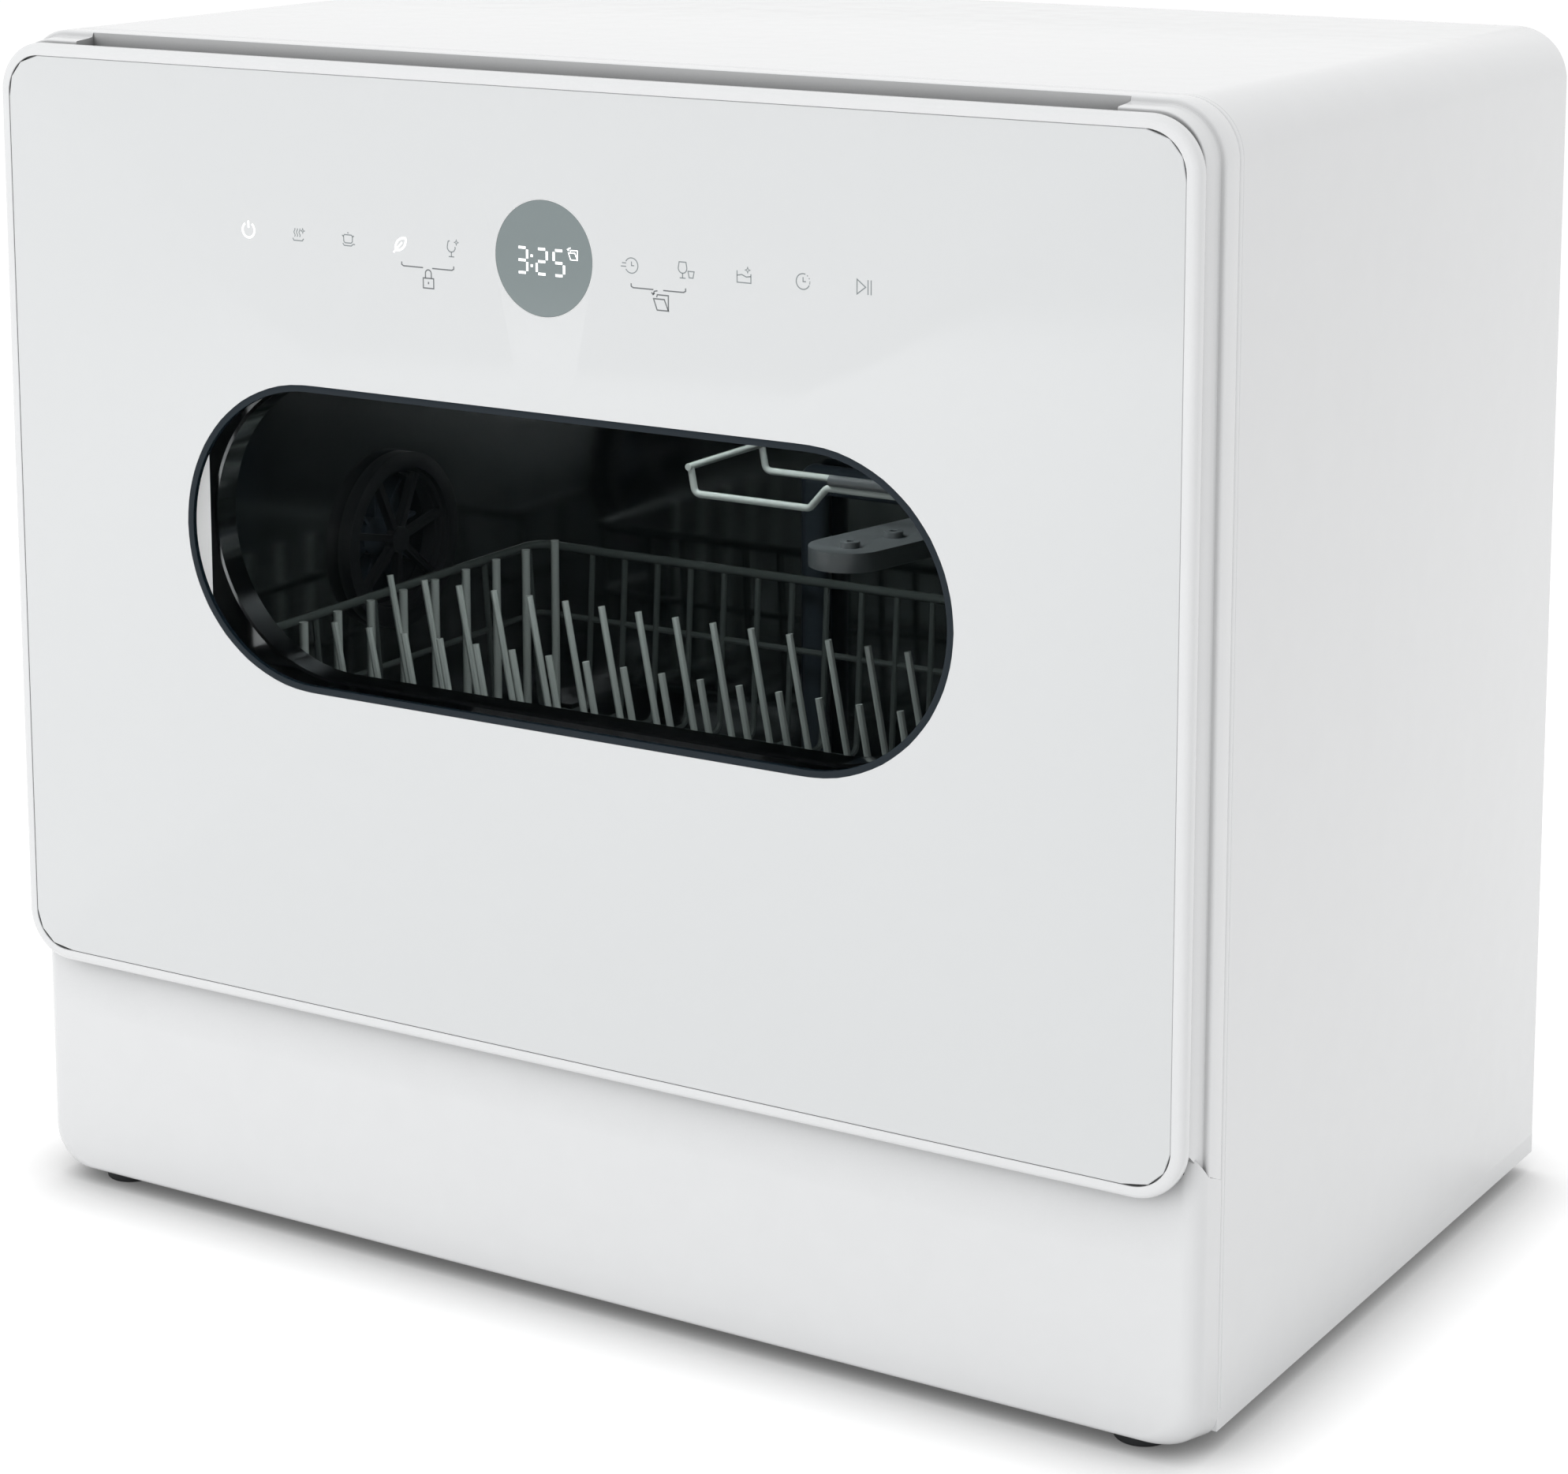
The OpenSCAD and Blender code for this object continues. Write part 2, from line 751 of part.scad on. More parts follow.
module inlet_valve() color(plastic_grey) place() difference() {
    y0 = niche_y0 - valve_d;
    union() {
        block([inlet_x - valve_hx, y0, port_z - valve_hz],
            [inlet_x + valve_hx, niche_y0 - fit_gap, port_z + valve_hz]);
        translate([inlet_x, niche_y0 - valve_hz, port_z + valve_hz - over]) cylinder(h = coil_h, r = coil_r);
        bar_y(niche_y0 - over, neck_y1, inlet_x, port_z, inlet_r - neck_in);
        bar_y(neck_y1, spigot_y1, inlet_x, port_z, inlet_r);
        bar_y(y0 - tail_h, y0 + over, inlet_x, port_z, tail_r);
    }
    bar_y(niche_y0 - socket_d, panel_y, inlet_x, port_z, inlet_r - spigot_bore_in);
    bar_y(y0 - tail_h - over, y0, inlet_x, port_z, tail_bore);
}

module drain_spigot() color(plastic_grey) place() difference() {
    union() {
        bar_y(niche_y0 - drain_tail, neck_y1, drain_x, port_z, drain_r - neck_in);
        bar_y(niche_y0 - drain_flange, niche_y0 - fit_gap, drain_x, port_z, drain_r + drain_flange);
        bar_y(neck_y1, spigot_y1, drain_x, port_z, drain_r);
    }
    bar_y(niche_y0 - drain_tail - over, panel_y, drain_x, port_z, drain_r - drain_wall);
}

module power_inlet() color(dark) place() {
    hx = socket_hx - mate;
    hz = socket_hz - mate;
    in = socket_wall;
    rim_x = socket_hx + socket_flange;
    rim_z = socket_hz + socket_flange;
    difference() {
        union() {
            block([power_x - hx, niche_y0 - socket_d, port_z - hz],
                [power_x + hx, niche_y0 + socket_out, port_z + hz]);
            block([power_x - rim_x, niche_y0 + niche_t + mate, port_z - rim_z],
                [power_x + rim_x, niche_y0 + 2 * niche_t, port_z + rim_z]);
        }
        block([power_x - socket_hx + in, niche_y0 - socket_out, port_z - socket_hz + in + 1],
            [power_x + socket_hx - in, niche_y0 + socket_out + over, port_z + socket_hz - in - 1]);
    }
    for (p = socket_pins) block([power_x + p.x - pin_hx, niche_y0 - socket_out - over, port_z + p.y - pin_hz],
        [power_x + p.x + pin_hx, niche_y0 - over, port_z + p.y + pin_hz]);
}

// Wash chamber

module tub() color(steel) place() difference() {
    hx = tub_w / 2;
    low = tub_z0 - 2 * tub_t;
    union() {
        slab(0, flange_t) panel(flange_hx, flange_z0, flange_z1, mouth_r + 6, mouth_r + 6);
        slab(flange_t - eps, tub_d + tub_t)
            panel(hx + tub_t, tub_z0 - tub_t, tub_z1 + tub_t, tub_r + tub_t, tub_r + tub_t);
        bar_z(low - eps, tub_z0 + 2, float_x, float_y, 2 * float_stem_r);
        bar_x(-hx - 8, -hx, vent_y, vent_z, duct_r);
    }
    slab(flange_t, tub_d) panel(hx, tub_z0, tub_z1, tub_r, tub_r);
    slab(-over, flange_t + eps) panel(mouth_hx, mouth_z0, mouth_z1, mouth_r, mouth_r);
    bar_z(low, tub_z0 + over, sump_x, sump_y, sump_r + mate);
    bar_z(low, tub_z0 + over, salt_x, salt_y, salt_r + fit_gap);
    bar_z(low, tub_z0 + over, arm_x, arm_y, hub_r + hub_wall + mate);
    bar_z(low, tub_z0 + over, pipe_x, pipe_y, pipe_r + mate);
    bar_z(low - over, tub_z0 + 2 + over, float_x, float_y, float_stem_r + run_gap);
    bar_x(-hx - 8 - over, -hx + over, vent_y, vent_z, duct_r - 2);
}

module tub_seal() color(dark) place() difference() {
    hx = mouth_hx + seal_in;
    z0 = mouth_z0 - seal_in;
    z1 = mouth_z1 + seal_in;
    w = seal_w;
    slab(-seal_t, 0) panel(hx + w, z0 - w, z1 + w, seal_r + 6, seal_r + 6);
    slab(-seal_t - over, over) panel(hx, z0, z1, seal_r, seal_r);
}

module basket_rails() color(steel) place() for (s = [-1, 1]) {
    wall = s * (tub_w / 2 - rail_sink);
    inner = s * (bx + 2);
    block([min(wall, inner), rail_end, rail_z - rail_t], [max(wall, inner), tub_d - rail_end, rail_z]);
}

module hinge_beam() color(steel) place() {
    hx = foot_x - boss_r - eps;
    block([-hx, leg_y1 + mate, tray_t], [hx, beam_y1, plinth_h]);
    block([-hx, leg_y1 + mate, tray_t], [hx, beam_y1 + beam_foot, tray_t + beam_foot_t]);
}

module hinge_straps() color(steel) place() for (s = [-1, 1])
    difference() {
        across(s * strap_x - strap_w / 2, s * strap_x + strap_w / 2) {
            translate([-axis_y, axis_z]) circle(eye_r);
            translate([strap_y0, axis_z]) square([strap_t, strap_z1 - axis_z]);
            translate([strap_y0, strap_z1 - strap_t]) square([leg_y1 - strap_y0, strap_t]);
            translate([leg_y1 - strap_t, leg_z0]) square([strap_t, strap_z1 - leg_z0]);
        }
        bar_x(s * strap_x - strap_w, s * strap_x + strap_w, -axis_y, axis_z, pin_r + run_gap);
    }

module catch_lever() color(plastic_grey) place() {
    hx = catch_hx;
    roll_y = catch_y - catch_roll_y;
    bar_x(-catch_pin_hx, catch_pin_hx, catch_y, catch_z, catch_pin_r);
    block([-hx, catch_y - catch_plate_y, catch_z - catch_plate_t / 2],
        [hx, catch_y, catch_z + catch_plate_t / 2]);
    bar_x(-hx, hx, roll_y, catch_z - catch_roll_z, catch_roll_r);
    block([-hx, roll_y - catch_arm_t / 2, catch_z - catch_roll_z + 0.8], [hx, roll_y + catch_arm_t / 2, catch_z]);
}

// Wash water

module sump() color(dark) place() difference() {
    port_x = sump_x + sump_r;
    union() {
        bar_z(sump_bottom, tub_z0 + eps, sump_x, sump_y, sump_r);
        bar_z(tub_z0, tub_z0 + 1.6, sump_x, sump_y, sump_r + sump_lip);
        bar_x(port_x - 4, port_x + sump_port, sump_y, pump_z + 4, sump_port_r);
    }
    bar_z(sump_bottom + sump_t, tub_z0 + sump_lip, sump_x, sump_y, sump_r - sump_t);
    bar_x(port_x - 5, port_x + sump_port + over, sump_y, pump_z + 4, sump_port_r - 2);
}

module filter_plate() color(steel) place() difference() {
    z0 = tub_z0 + 1.6;
    bar_z(z0, z0 + plate_t, sump_x, sump_y, sump_r + sump_lip - 1);
    bar_z(z0 - over, z0 + plate_t + over, sump_x, sump_y, filter_r + 2);
    for (a = [0 : 15 : 345]) translate([sump_x, sump_y, 0]) rotate([0, 0, a])
        bar_z(z0 - over, z0 + plate_t + over, filter_r + 10, 0, 2.5);
}

module filter_cup() color(plastic_grey) place() translate([sump_x, sump_y, 0]) {
    top = tub_z0 + 5;
    difference() {
        union() {
            cylinder_z(filter_z0, top - 1, filter_r);
            cylinder_z(top - filter_t, top, filter_flange_r);
        }
        cylinder_z(filter_z0 + filter_t, top + over, filter_r - filter_t);
        for (a = [0 : 30 : 150]) rotate([0, 0, a])
            block([-filter_r - 9, -3, filter_z0 + 8], [filter_r + 9, 3, filter_z0 + 48]);
    }
    block([-filter_r + 1, -2.5, tub_z0 + 2], [filter_r - 1, 2.5, tub_z0 + 10]);
}

module cylinder_z(z0, z1, r) translate([0, 0, z0]) cylinder(h = z1 - z0, r = r);

module spray_hub() color(dark) place() translate([arm_x, arm_y, 0]) difference() {
    top = arm_z0 + arm_t + 4;
    union() {
        cylinder_z(pump_top, tub_z0 + 10, hub_r + hub_wall);
        cylinder_z(tub_z0, tub_z0 + 9, hub_r + 10);
        cylinder_z(tub_z0 + 8, top + 1, hub_r);
        cylinder_z(top, top + 3, hub_r + hub_collar);
    }
    cylinder_z(pump_top - over, top - 2, hub_bore);
}

// A spray arm along x about its hub, with its nozzles on top.
module spray_arm(reach, z0, bore) difference() {
    union() {
        translate([0, 0, z0]) linear_extrude(arm_t) stadium(reach, arm_w / 2);
        cylinder_z(z0 - 3, z0 + arm_t + 3, arm_w / 2 - 2);
        jet_places(reach) cylinder_z(z0 + arm_t - 1, z0 + arm_t + 2.5, jet_r);
    }
    cylinder_z(z0 - 4, z0 + arm_t + 4, bore);
    jet_places(reach) cylinder_z(z0 + arm_t - 2, z0 + arm_t + 3, jet_bore);
}

module jet_places(reach) for (s = [-1, 1], i = [0 : jet_count - 1])
    translate([s * (reach - jet_in - i * jet_pitch), s * jet_side, 0]) children();

module lower_spray_arm() color(plastic_grey) place() translate([arm_x, arm_y, 0])
    spray_arm(low_arm_r, arm_z0, hub_r + run_gap);

module mid_spray_arm() color(plastic_grey) place() translate([mid_x, mid_y, 0])
    rotate([0, 0, mid_turn]) spray_arm(mid_arm_r, mid_z0, mid_pin_r + run_gap);

module supply_pipe() color(blue_grey) place() {
    r = pipe_r;
    top = [pipe_x, pipe_y, pipe_z];
    elbow = [mid_x, pipe_y, pipe_z];
    hub = [mid_x, mid_y, pipe_z];
    rod([pipe_x, pipe_y, pipe_foot_z], top, r, pipe_sides);
    rod(top, elbow, r, pipe_sides);
    rod(elbow, hub, r, pipe_sides);
    for (p = [top, elbow, hub]) translate(p) sphere(r + elbow_swell, $fn = pipe_sides);
    translate([mid_x, mid_y, 0]) {
        cylinder_z(pipe_z, mid_z0 - 4, r + 2);
        cylinder_z(mid_z0 - 5, mid_z0 + arm_t + 5, mid_pin_r);
        cylinder_z(mid_z0 + arm_t + 4, mid_z0 + arm_t + 7, mid_pin_r + 3);
    }
}

module shelf_brackets() color(plastic_grey) place()
    for (y = [shelf_y0 + bracket_in, shelf_y1 - bracket_in]) difference() {
        block([shelf_x - 6, y - bracket_w / 2, shelf_z - 9], [tub_w / 2, y + bracket_w / 2, shelf_z + 6]);
        bar_y(y - bracket_w, y + bracket_w, shelf_x, shelf_z, shelf_rod_r + run_gap);
    }

module cup_shelf() color(wire_grey) place() {
    z = shelf_z + shelf_rise;
    low = z - shelf_dip;
    top = z + 2;
    bar_y(shelf_y0 - 4, shelf_y1 + 4, shelf_x, shelf_z, shelf_rod_r);
    for (y = [shelf_y0, shelf_y0 + shelf_pitch, shelf_y1 - shelf_pitch, shelf_y1])
        wire([[shelf_x, y, shelf_z], [shelf_x - shelf_elbow, y, z], [dip_x1, y, z], [dip_x0, y, low],
            [shelf_tip, y, low], [shelf_tip - 2, y, top]], wire_r);
    for (x = shelf_cross_x) rod([x, shelf_y0 - 2, top], [x, shelf_y1 + 2, top], wire_r);
    for (y = [shelf_y0 - 1, shelf_y1 + 1])
        rod([shelf_x - shelf_elbow, y, z + 3.4], [thick_rod_x, y, z + 3.4], thick_rod_r, 16);
}

module vent_grille() color(dark) place() translate([-tub_w / 2, vent_y, vent_z]) rotate([0, 90, 0]) {
    difference() {
        cylinder(h = 7, r = vent_r);
        translate([0, 0, -1]) cylinder(h = 9, r = vent_r - 7);
    }
    difference() {
        translate([0, 0, -6]) cylinder(h = 7, r = vent_r - 8 - mate);
        translate([0, 0, -7]) cylinder(h = 9, r = vent_r - 10);
    }
    cylinder(h = 5, r = 6);
    for (a = [0 : 360 / 7 : 359]) rotate([0, 0, a]) translate([0, -1.6, 0]) cube([vent_r - 6, 3.2, 4]);
    difference() {
        cylinder(h = 4, r = vent_r - 4);
        translate([0, 0, -1]) cylinder(h = 9, r = vent_r - 9);
    }
}

// The fan's own frame: along its axis, away from the tub's left wall.
module fan_place() place()
    translate([-tub_w / 2 - tub_t - fit_gap, vent_y, vent_z]) rotate([0, -90, 0]) children();

module fan_housing() color(dark) fan_place() {
    floor_z = fan_d - fan_wall - 2;
    difference() {
        cylinder(h = fan_d, r = vent_r + fan_wall);
        translate([0, 0, fan_wall]) cylinder(h = floor_z, r = vent_r + fan_inner_gap);
        translate([0, 0, -over]) cylinder(h = fan_mouth, r = duct_r + eps);
        translate([0, 0, floor_z]) cylinder(h = fan_d - floor_z + over, r = fan_shaft_r + run_gap);
        block([-vent_r - 19, -fan_outlet_hw, fan_wall + 2], [-vent_r + fan_wall, fan_outlet_hw, floor_z]);
    }
    difference() {
        translate([0, 0, fan_d - eps]) cylinder(h = fan_motor_h, r = fan_motor_r);
        translate([0, 0, fan_d - over]) cylinder(h = 7, r = fan_shaft_r + run_gap);
    }
}

module fan_impeller() color(blue_grey) fan_place() translate([0, 0, fan_z0]) {
    cylinder(h = fan_hub_h, r = fan_hub_r);
    cylinder(h = fan_shaft_h, r = fan_shaft_r);
    translate([0, 0, fan_disc_z]) cylinder(h = fan_disc_t, r = vent_r - 8);
    for (a = [0 : 40 : 320]) rotate([0, 0, a])
        translate([fan_hub_r - 2, -blade_t / 2, 0]) cube([vent_r - fan_hub_r - 8, blade_t, fan_blade_h]);
}

module softener() color(white) place() difference() {
    union() {
        block([softener_x0, softener_y0, softener_z0], [softener_x1, softener_y1, tub_z0 - softener_top]);
        bar_z(tub_z0 - 6, tub_z0 + 3, salt_x, salt_y, salt_r);
        for (s = [-1, 1], t = [-1, 1]) bar_z(tray_t, softener_z0 + 2, salt_x + s * softener_leg_x,
            salt_y + t * softener_leg_y, softener_leg_r);
    }
    bar_z(softener_z0 + 16, tub_z0 + 4, salt_x, salt_y, salt_r - 3);
}

module salt_cap() color(plastic_grey) place() translate([salt_x, salt_y, 0]) {
    cylinder_z(tub_z0 + 3 + fit_gap, tub_z0 + 9, salt_r + 4);
    cylinder_z(tub_z0 - 5, tub_z0 + 4, salt_r - 3 - run_gap);
    block([-salt_r, -2, tub_z0 + 8], [salt_r, 2, tub_z0 + 13]);
}

module float_cap() color(plastic_grey) place() translate([float_x, float_y, 0]) {
    cylinder_z(tub_z0 + 2 + fit_gap, tub_z0 + 9, float_stem_r + 10);
    cylinder_z(tub_z0 - 14, tub_z0 + 4, float_stem_r);
}

module wash_pump() color(dark) place() translate([arm_x, arm_y, 0]) {
    difference() {
        union() {
            cylinder_z(pump_z, pump_top - fit_gap, volute_r);
            cylinder_z(motor_z0, pump_z + 1, volute_r - 4);
        }
        cylinder_z(pump_z + 4, pump_top - 4, volute_r - pump_wall);
        cylinder_z(pump_top - 10, pump_top + 1, 8);
        cylinder_z(motor_z0 + 24, pump_z + 5, pump_shaft_r + run_gap);
    }
    for (a = [30 : 120 : 270]) rotate([0, 0, a]) translate([volute_r - 10, 0, 0])
        cylinder_z(tray_t, motor_z0 + 1, pump_leg_r);
}

module wash_impeller() color(blue_grey) place() translate([arm_x, arm_y, 0]) {
    cylinder_z(pump_z + 8, pump_z + 11, volute_r - 8);
    cylinder_z(motor_z0 + 28, pump_z + 20, pump_shaft_r);
    for (a = [0 : 60 : 300]) rotate([0, 0, a]) translate([2, -1, pump_z + 10]) cube([volute_r - 11, 2, 10]);
}

module drain_pump() color(dark) place() {
    x0 = sump_x + sump_r + sump_port + fit_gap;
    x1 = x0 + drain_pump_w;
    bar_x(x0, x1, sump_y, pump_z + 4, drain_pump_r);
    bar_x(x1 - over, x1 + drain_motor_w - over, sump_y, pump_z + 4, drain_motor_r);
    y0 = sump_y + drain_pump_r;
    bar_y(y0 - 3, y0 + drain_r, x0 + drain_pump_w / 2, pump_z + 4, drain_r - 3);
    block([x0 + 6, sump_y - 12, tray_t], [x1 - 6, sump_y + 12, pump_z - 10]);
}

// The power electronics' open box, its board, its parts and its legs.
module power_board() color(plastic_grey) place() {
    z1 = board_z0 + 2 * box_t;
    difference() {
        block([board_x0, board_y0, board_z0], [board_x1, board_y1, board_z0 + board_h]);
        block([board_x0 + box_t, board_y0 + box_t, board_z0 + box_t],
            [board_x1 - box_t, board_y1 - box_t, board_z0 + board_h + over]);
    }
    block([board_x0 + box_t + 4, board_y0 + box_t + 4, z1],
        [board_x1 - box_t - 4, board_y1 - box_t - 4, z1 + 2]);
    for (dx = board_part_x, dy = board_part_y) translate([board_x0 + dx, board_y0 + dy, z1])
        block([-board_part_hx, -board_part_hx, 1], [board_part_hx, board_part_hx, board_part_h]);
    for (x = [board_x0 + box_leg_in, board_x1 - box_leg_in],
        y = [board_y0 + box_leg_in, board_y1 - box_leg_in]) {
        bar_z(board_z0 + 2, z1 + 1, x, y, box_pin_r);
        bar_z(tray_t, board_z0 + 1, x, y, box_leg_r);
    }
}

// A hose through its route's points.
module hose(points, r) {
    for (i = [0 : len(points) - 2]) rod(points[i], points[i + 1], r, 20);
    for (i = [1 : len(points) - 2]) translate(points[i]) sphere(r + elbow_swell, $fn = 20);
}

module drain_hose() color(dark) place() {
    x = sump_x + sump_r + sump_port + drain_pump_w / 2 + fit_gap;
    y = sump_y + drain_pump_r + drain_r;
    z = pump_z + 4;
    hose([[x, y + mate, z], [x, y + 14, z], [drain_x, niche_y0 - 26, port_z],
        [drain_x, niche_y0 - drain_tail - mate, port_z]], drain_r - drain_wall);
}

module feed_hose() color(dark) place() {
    y = niche_y0 - valve_d - tail_h;
    hose([[inlet_x, y - mate, port_z], [inlet_x, y - hose_r, port_z],
        [inlet_x - hose_bend_x, y - hose_r - hose_bend + fit_gap, hose_z - 2],
        [hose_mid_x, hose_y, hose_z], [softener_x1 + mate, hose_y, hose_z]], hose_r);
}

// Door

module rim_body(grow) panel(door_hx + grow, door_z0 - grow, door_z1 + grow, door_r + grow, door_r + grow);

module core_outline(in) panel(core_hx - in, core_z0 + in, core_z1 - in, core_r - in * 0.5, core_r - in * 0.5);

// The control board's pillars behind the panel.
module board_places() for (x = boss_x, s = [-1, 1]) translate([x, 0, display_z + s * boss_rise]) children();

module door_frame() color(white) place() difference() {
    union() {
        hull() {
            slab(-door_proud, rim_back) rim_body(-rim_chamfer);
            slab(-door_proud + rim_edge, rim_back - rim_edge) rim_body(0);
        }
        slab(rim_back - over, liner_y0 - mate) difference() {
            core_outline(0);
            core_outline(core_t);
        }
        slab(backing_back - over, pane_y0 - mate) window_shape(tunnel_t - win_ring);
        board_places() bar_y(backing_back - eps, backing_back + board_boss_h, 0, 0, board_boss_r);
    }
    slab(-door_proud - over, glass_back)
        panel(door_hx - rim_w, door_z0 + rim_w, door_z1 - rim_w, door_r - rim_w, door_r - rim_w);
    difference() {
        slab(backing_back, liner_y0 + over) difference() {
            core_outline(core_t);
            window_shape(tunnel_t - win_ring);
        }
        board_places() bar_y(backing_back - over, backing_back + board_boss_h, 0, 0, board_boss_r);
    }
    slab(-door_proud - over, pane_y0 + over) window_shape(-win_ring);
    bar_y(-door_proud - over, backing_back + over, 0, display_z, lens_r - lens_seat);
    for (s = [-1, 1]) {
        block([s * strap_x - notch_w / 2, notch_y0, door_z0 - over],
            [s * strap_x + notch_w / 2, rim_back + over, notch_z1]);
        bar_x(s * strap_x - notch_w, s * strap_x + notch_w, -axis_y, axis_z, pin_r + mate);
    }
}

module door_glass() color(shade_white) place() difference() {
    slab(glass_y0, glass_back) panel(door_hx - rim_w - mate, door_z0 + rim_w + mate, door_z1 - rim_w - mate,
        door_r - rim_w, door_r - rim_w);
    slab(glass_y0 - over, glass_back + over) window_shape(mate);
    bar_y(glass_y0 - over, glass_back + over, 0, display_z, lens_r + mate);
}

module window_ring() color(slate) place() difference() {
    slab(glass_y0, glass_back) window_shape(0);
    slab(glass_y0 - over, glass_back + over) window_shape(-win_ring);
}

module window_pane() color(dark) place() slab(glass_y0, glass_back) window_shape(-win_ring - mate);

module inner_pane() color(dark) place() slab(pane_y0, pane_y1) window_shape(tunnel_t + 1);

module door_liner() color(steel) place() difference() {
    union() {
        slab(liner_y0, liner_y1) core_outline(0);
        slab(pane_y1 + mate, liner_y0 + eps) window_shape(0);
    }
    slab(pane_y1 - over, liner_y1 + over) window_shape(-pane_seat);
    block([-disp_hx + cup_wall, liner_y0 - over, disp_z0 + cup_wall],
        [disp_hx - cup_wall, liner_y1 + over, disp_z1 - cup_wall]);
}

module display_lens() color("#808c8d") place() bar_y(glass_y0, glass_back, 0, display_z, lens_r);

module control_board() color("#2f6b4a") place() {
    y0 = backing_back + board_boss_h + mate;
    block([-board_hx, y0, display_z - board_hz], [board_hx, y0 + board_t, display_z + board_hz]);
    block([-module_hx, glass_back + 0.1, display_z - module_hz],
        [module_hx, y0 + eps, display_z + module_hz]);
    for (x = key_x) block([x - key_r, y0 + 1, display_z - key_r], [x + key_r, y0 + 7, display_z + key_r]);
}

module dispenser_body() color(white) place() difference() {
    in = cup_wall + mate;
    union() {
        block([-disp_hx, liner_y1, disp_z0], [disp_hx, disp_face, disp_z1]);
        block([-disp_hx + in, cup_y - cup_wall, disp_z0 + in], [disp_hx - in, liner_y1 + mate, disp_z1 - in]);
    }
    block([lid_x0 + cup_in, cup_y, disp_z0 + lid_in + cup_in],
        [lid_x1 - cup_in, disp_face + over, disp_z1 - lid_in - cup_in]);
    bar_y(cup_y + 2, disp_face + 1, cap_x, cap_z, cap_stem_r + run_gap);
}

module dispenser_lid() color(plastic_grey) place() {
    y0 = disp_face + fit_gap;
    y1 = y0 + lid_t;
    grip_x0 = lid_x0 + 8;
    block([lid_x0, y0, disp_z0 + lid_in], [lid_x1, y1, disp_z1 - lid_in]);
    block([grip_x0, y1 - 0.2, cap_z - grip_hz], [grip_x0 + grip_w, y1 + 1, cap_z + grip_hz]);
}

module rinse_cap() color(blue_grey) place() {
    bar_y(disp_face + fit_gap, disp_face + 2.6, cap_x, cap_z, cap_r);
    bar_y(cup_y + 4, disp_face + 1, cap_x, cap_z, cap_stem_r);
    block([cap_x - cap_r + 3, disp_face + 2, cap_z - 1.5], [cap_x + cap_r - 3, disp_face + 4, cap_z + 1.5]);
}

module hinge_pins() color(steel) place() for (s = [-1, 1])
    bar_x(s * strap_x - notch_w, s * strap_x + notch_w, -axis_y, axis_z, pin_r);

// Basket

// Height of the basket's rim at depth y: it drops towards the front.
function rim_height(y) = y < basket_y0 + rim_slope
    ? basket_low + (y - basket_y0) / rim_slope * (basket_z1 - basket_low) : basket_z1;

module basket_frame() color(wire_grey) place() {
    y0 = basket_y0;
    y1 = basket_y1;
    z0 = basket_z0;
    z1 = basket_z1;
    low = basket_low;
    // rim
    wire([[-bx, y0, low], [-bx, y0 + rim_slope, z1], [-bx, y1, z1], [bx, y1, z1], [bx, y0 + rim_slope, z1],
        [bx, y0, low], [-bx, y0, low]], rim_wire_r);
    // cross wires under the floor, each up both sides
    for (y = cross_y) wire([[-bx, y, rim_height(y)], [-bx + side_in, y, z0 - weld],
        [bx - side_in, y, z0 - weld], [bx, y, rim_height(y)]], wire_r);
    // floor wires, each up the front and the back
    for (i = [0 : floor_count - 1]) {
        x = (i - (floor_count - 1) / 2) * tine_pitch;
        wire([[x, y0, low], [x, y0 + floor_bend, z0], [x, y1 - floor_bend, z0], [x, y1, z1]], wire_r);
    }
    // a rail halfway up the sides and the back
    mid_x = bx - wire_in;
    mid_y = y1 - wire_r;
    for (s = [-1, 1]) rod([s * mid_x, y0 + 3, low - 1], [s * mid_x, mid_y + eps, low - 1], wire_r);
    rod([-mid_x, mid_y, low - 1], [mid_x, mid_y, low - 1], wire_r);
    // upright tines along the left side
    cup_z = z0 - weld + cup_weld;
    rod([cup_x, cross_y[0] - 2, cup_z], [cup_x, cross_y[6] + 2, cup_z], wire_r);
    for (i = [0 : cup_count - 1]) {
        y = y0 + 4 + i * cup_pitch;
        rod([cup_x, y, z0], [cup_x, y, z1 + cup_top], cup_tine_r);
    }
    // axle stubs
    for (s = [-1, 1], y = [wheel_front_y, wheel_back_y])
        bar_x(s < 0 ? -bx - wheel_w - 4 : bx - 12, s < 0 ? -bx + 12 : bx + wheel_w + 4, y, wheel_z, axle_r);
}

// A folding row of tines on its turning rod.
module tine_row(y, length) {
    bar_x(row_x0 - row_end, row_x0 + (row_count - 1) * tine_pitch + row_end, y, row_z, row_rod_r);
    for (i = [0 : row_count - 1]) {
        x = row_x0 + i * tine_pitch;
        rod([x, y, row_z], [x - length * sin(tine_lean), y, row_z + length * cos(tine_lean)], wire_r);
    }
}

module tine_row_front() color(wire_grey) place() tine_row(row_front_y, front_tine);
module tine_row_back() color(wire_grey) place() tine_row(row_back_y, back_tine);

module tine_clips() color(plastic_grey) place() for (y = [row_front_y, row_back_y], k = [0, 8, 16]) {
    x = row_x0 + k * tine_pitch + clip_x;
    difference() {
        block([x - clip_w / 2, y - clip_d / 2, basket_z0 - weld + wire_r * 0.93],
            [x + clip_w / 2, y + clip_d / 2, row_z + clip_top]);
        bar_x(x - clip_w, x + clip_w, y, row_z, row_rod_r + run_gap);
    }
}

module wheel_pair(y) for (s = [-1, 1]) difference() {
    x0 = bx + wheel_in;
    bar_x(s < 0 ? -x0 - wheel_w : x0, s < 0 ? -x0 : x0 + wheel_w, y, wheel_z, wheel_r);
    bar_x(-hw, hw, y, wheel_z, axle_r + run_gap);
}

module wheels_front() color(plastic_grey) place() wheel_pair(wheel_front_y);
module wheels_back() color(plastic_grey) place() wheel_pair(wheel_back_y);

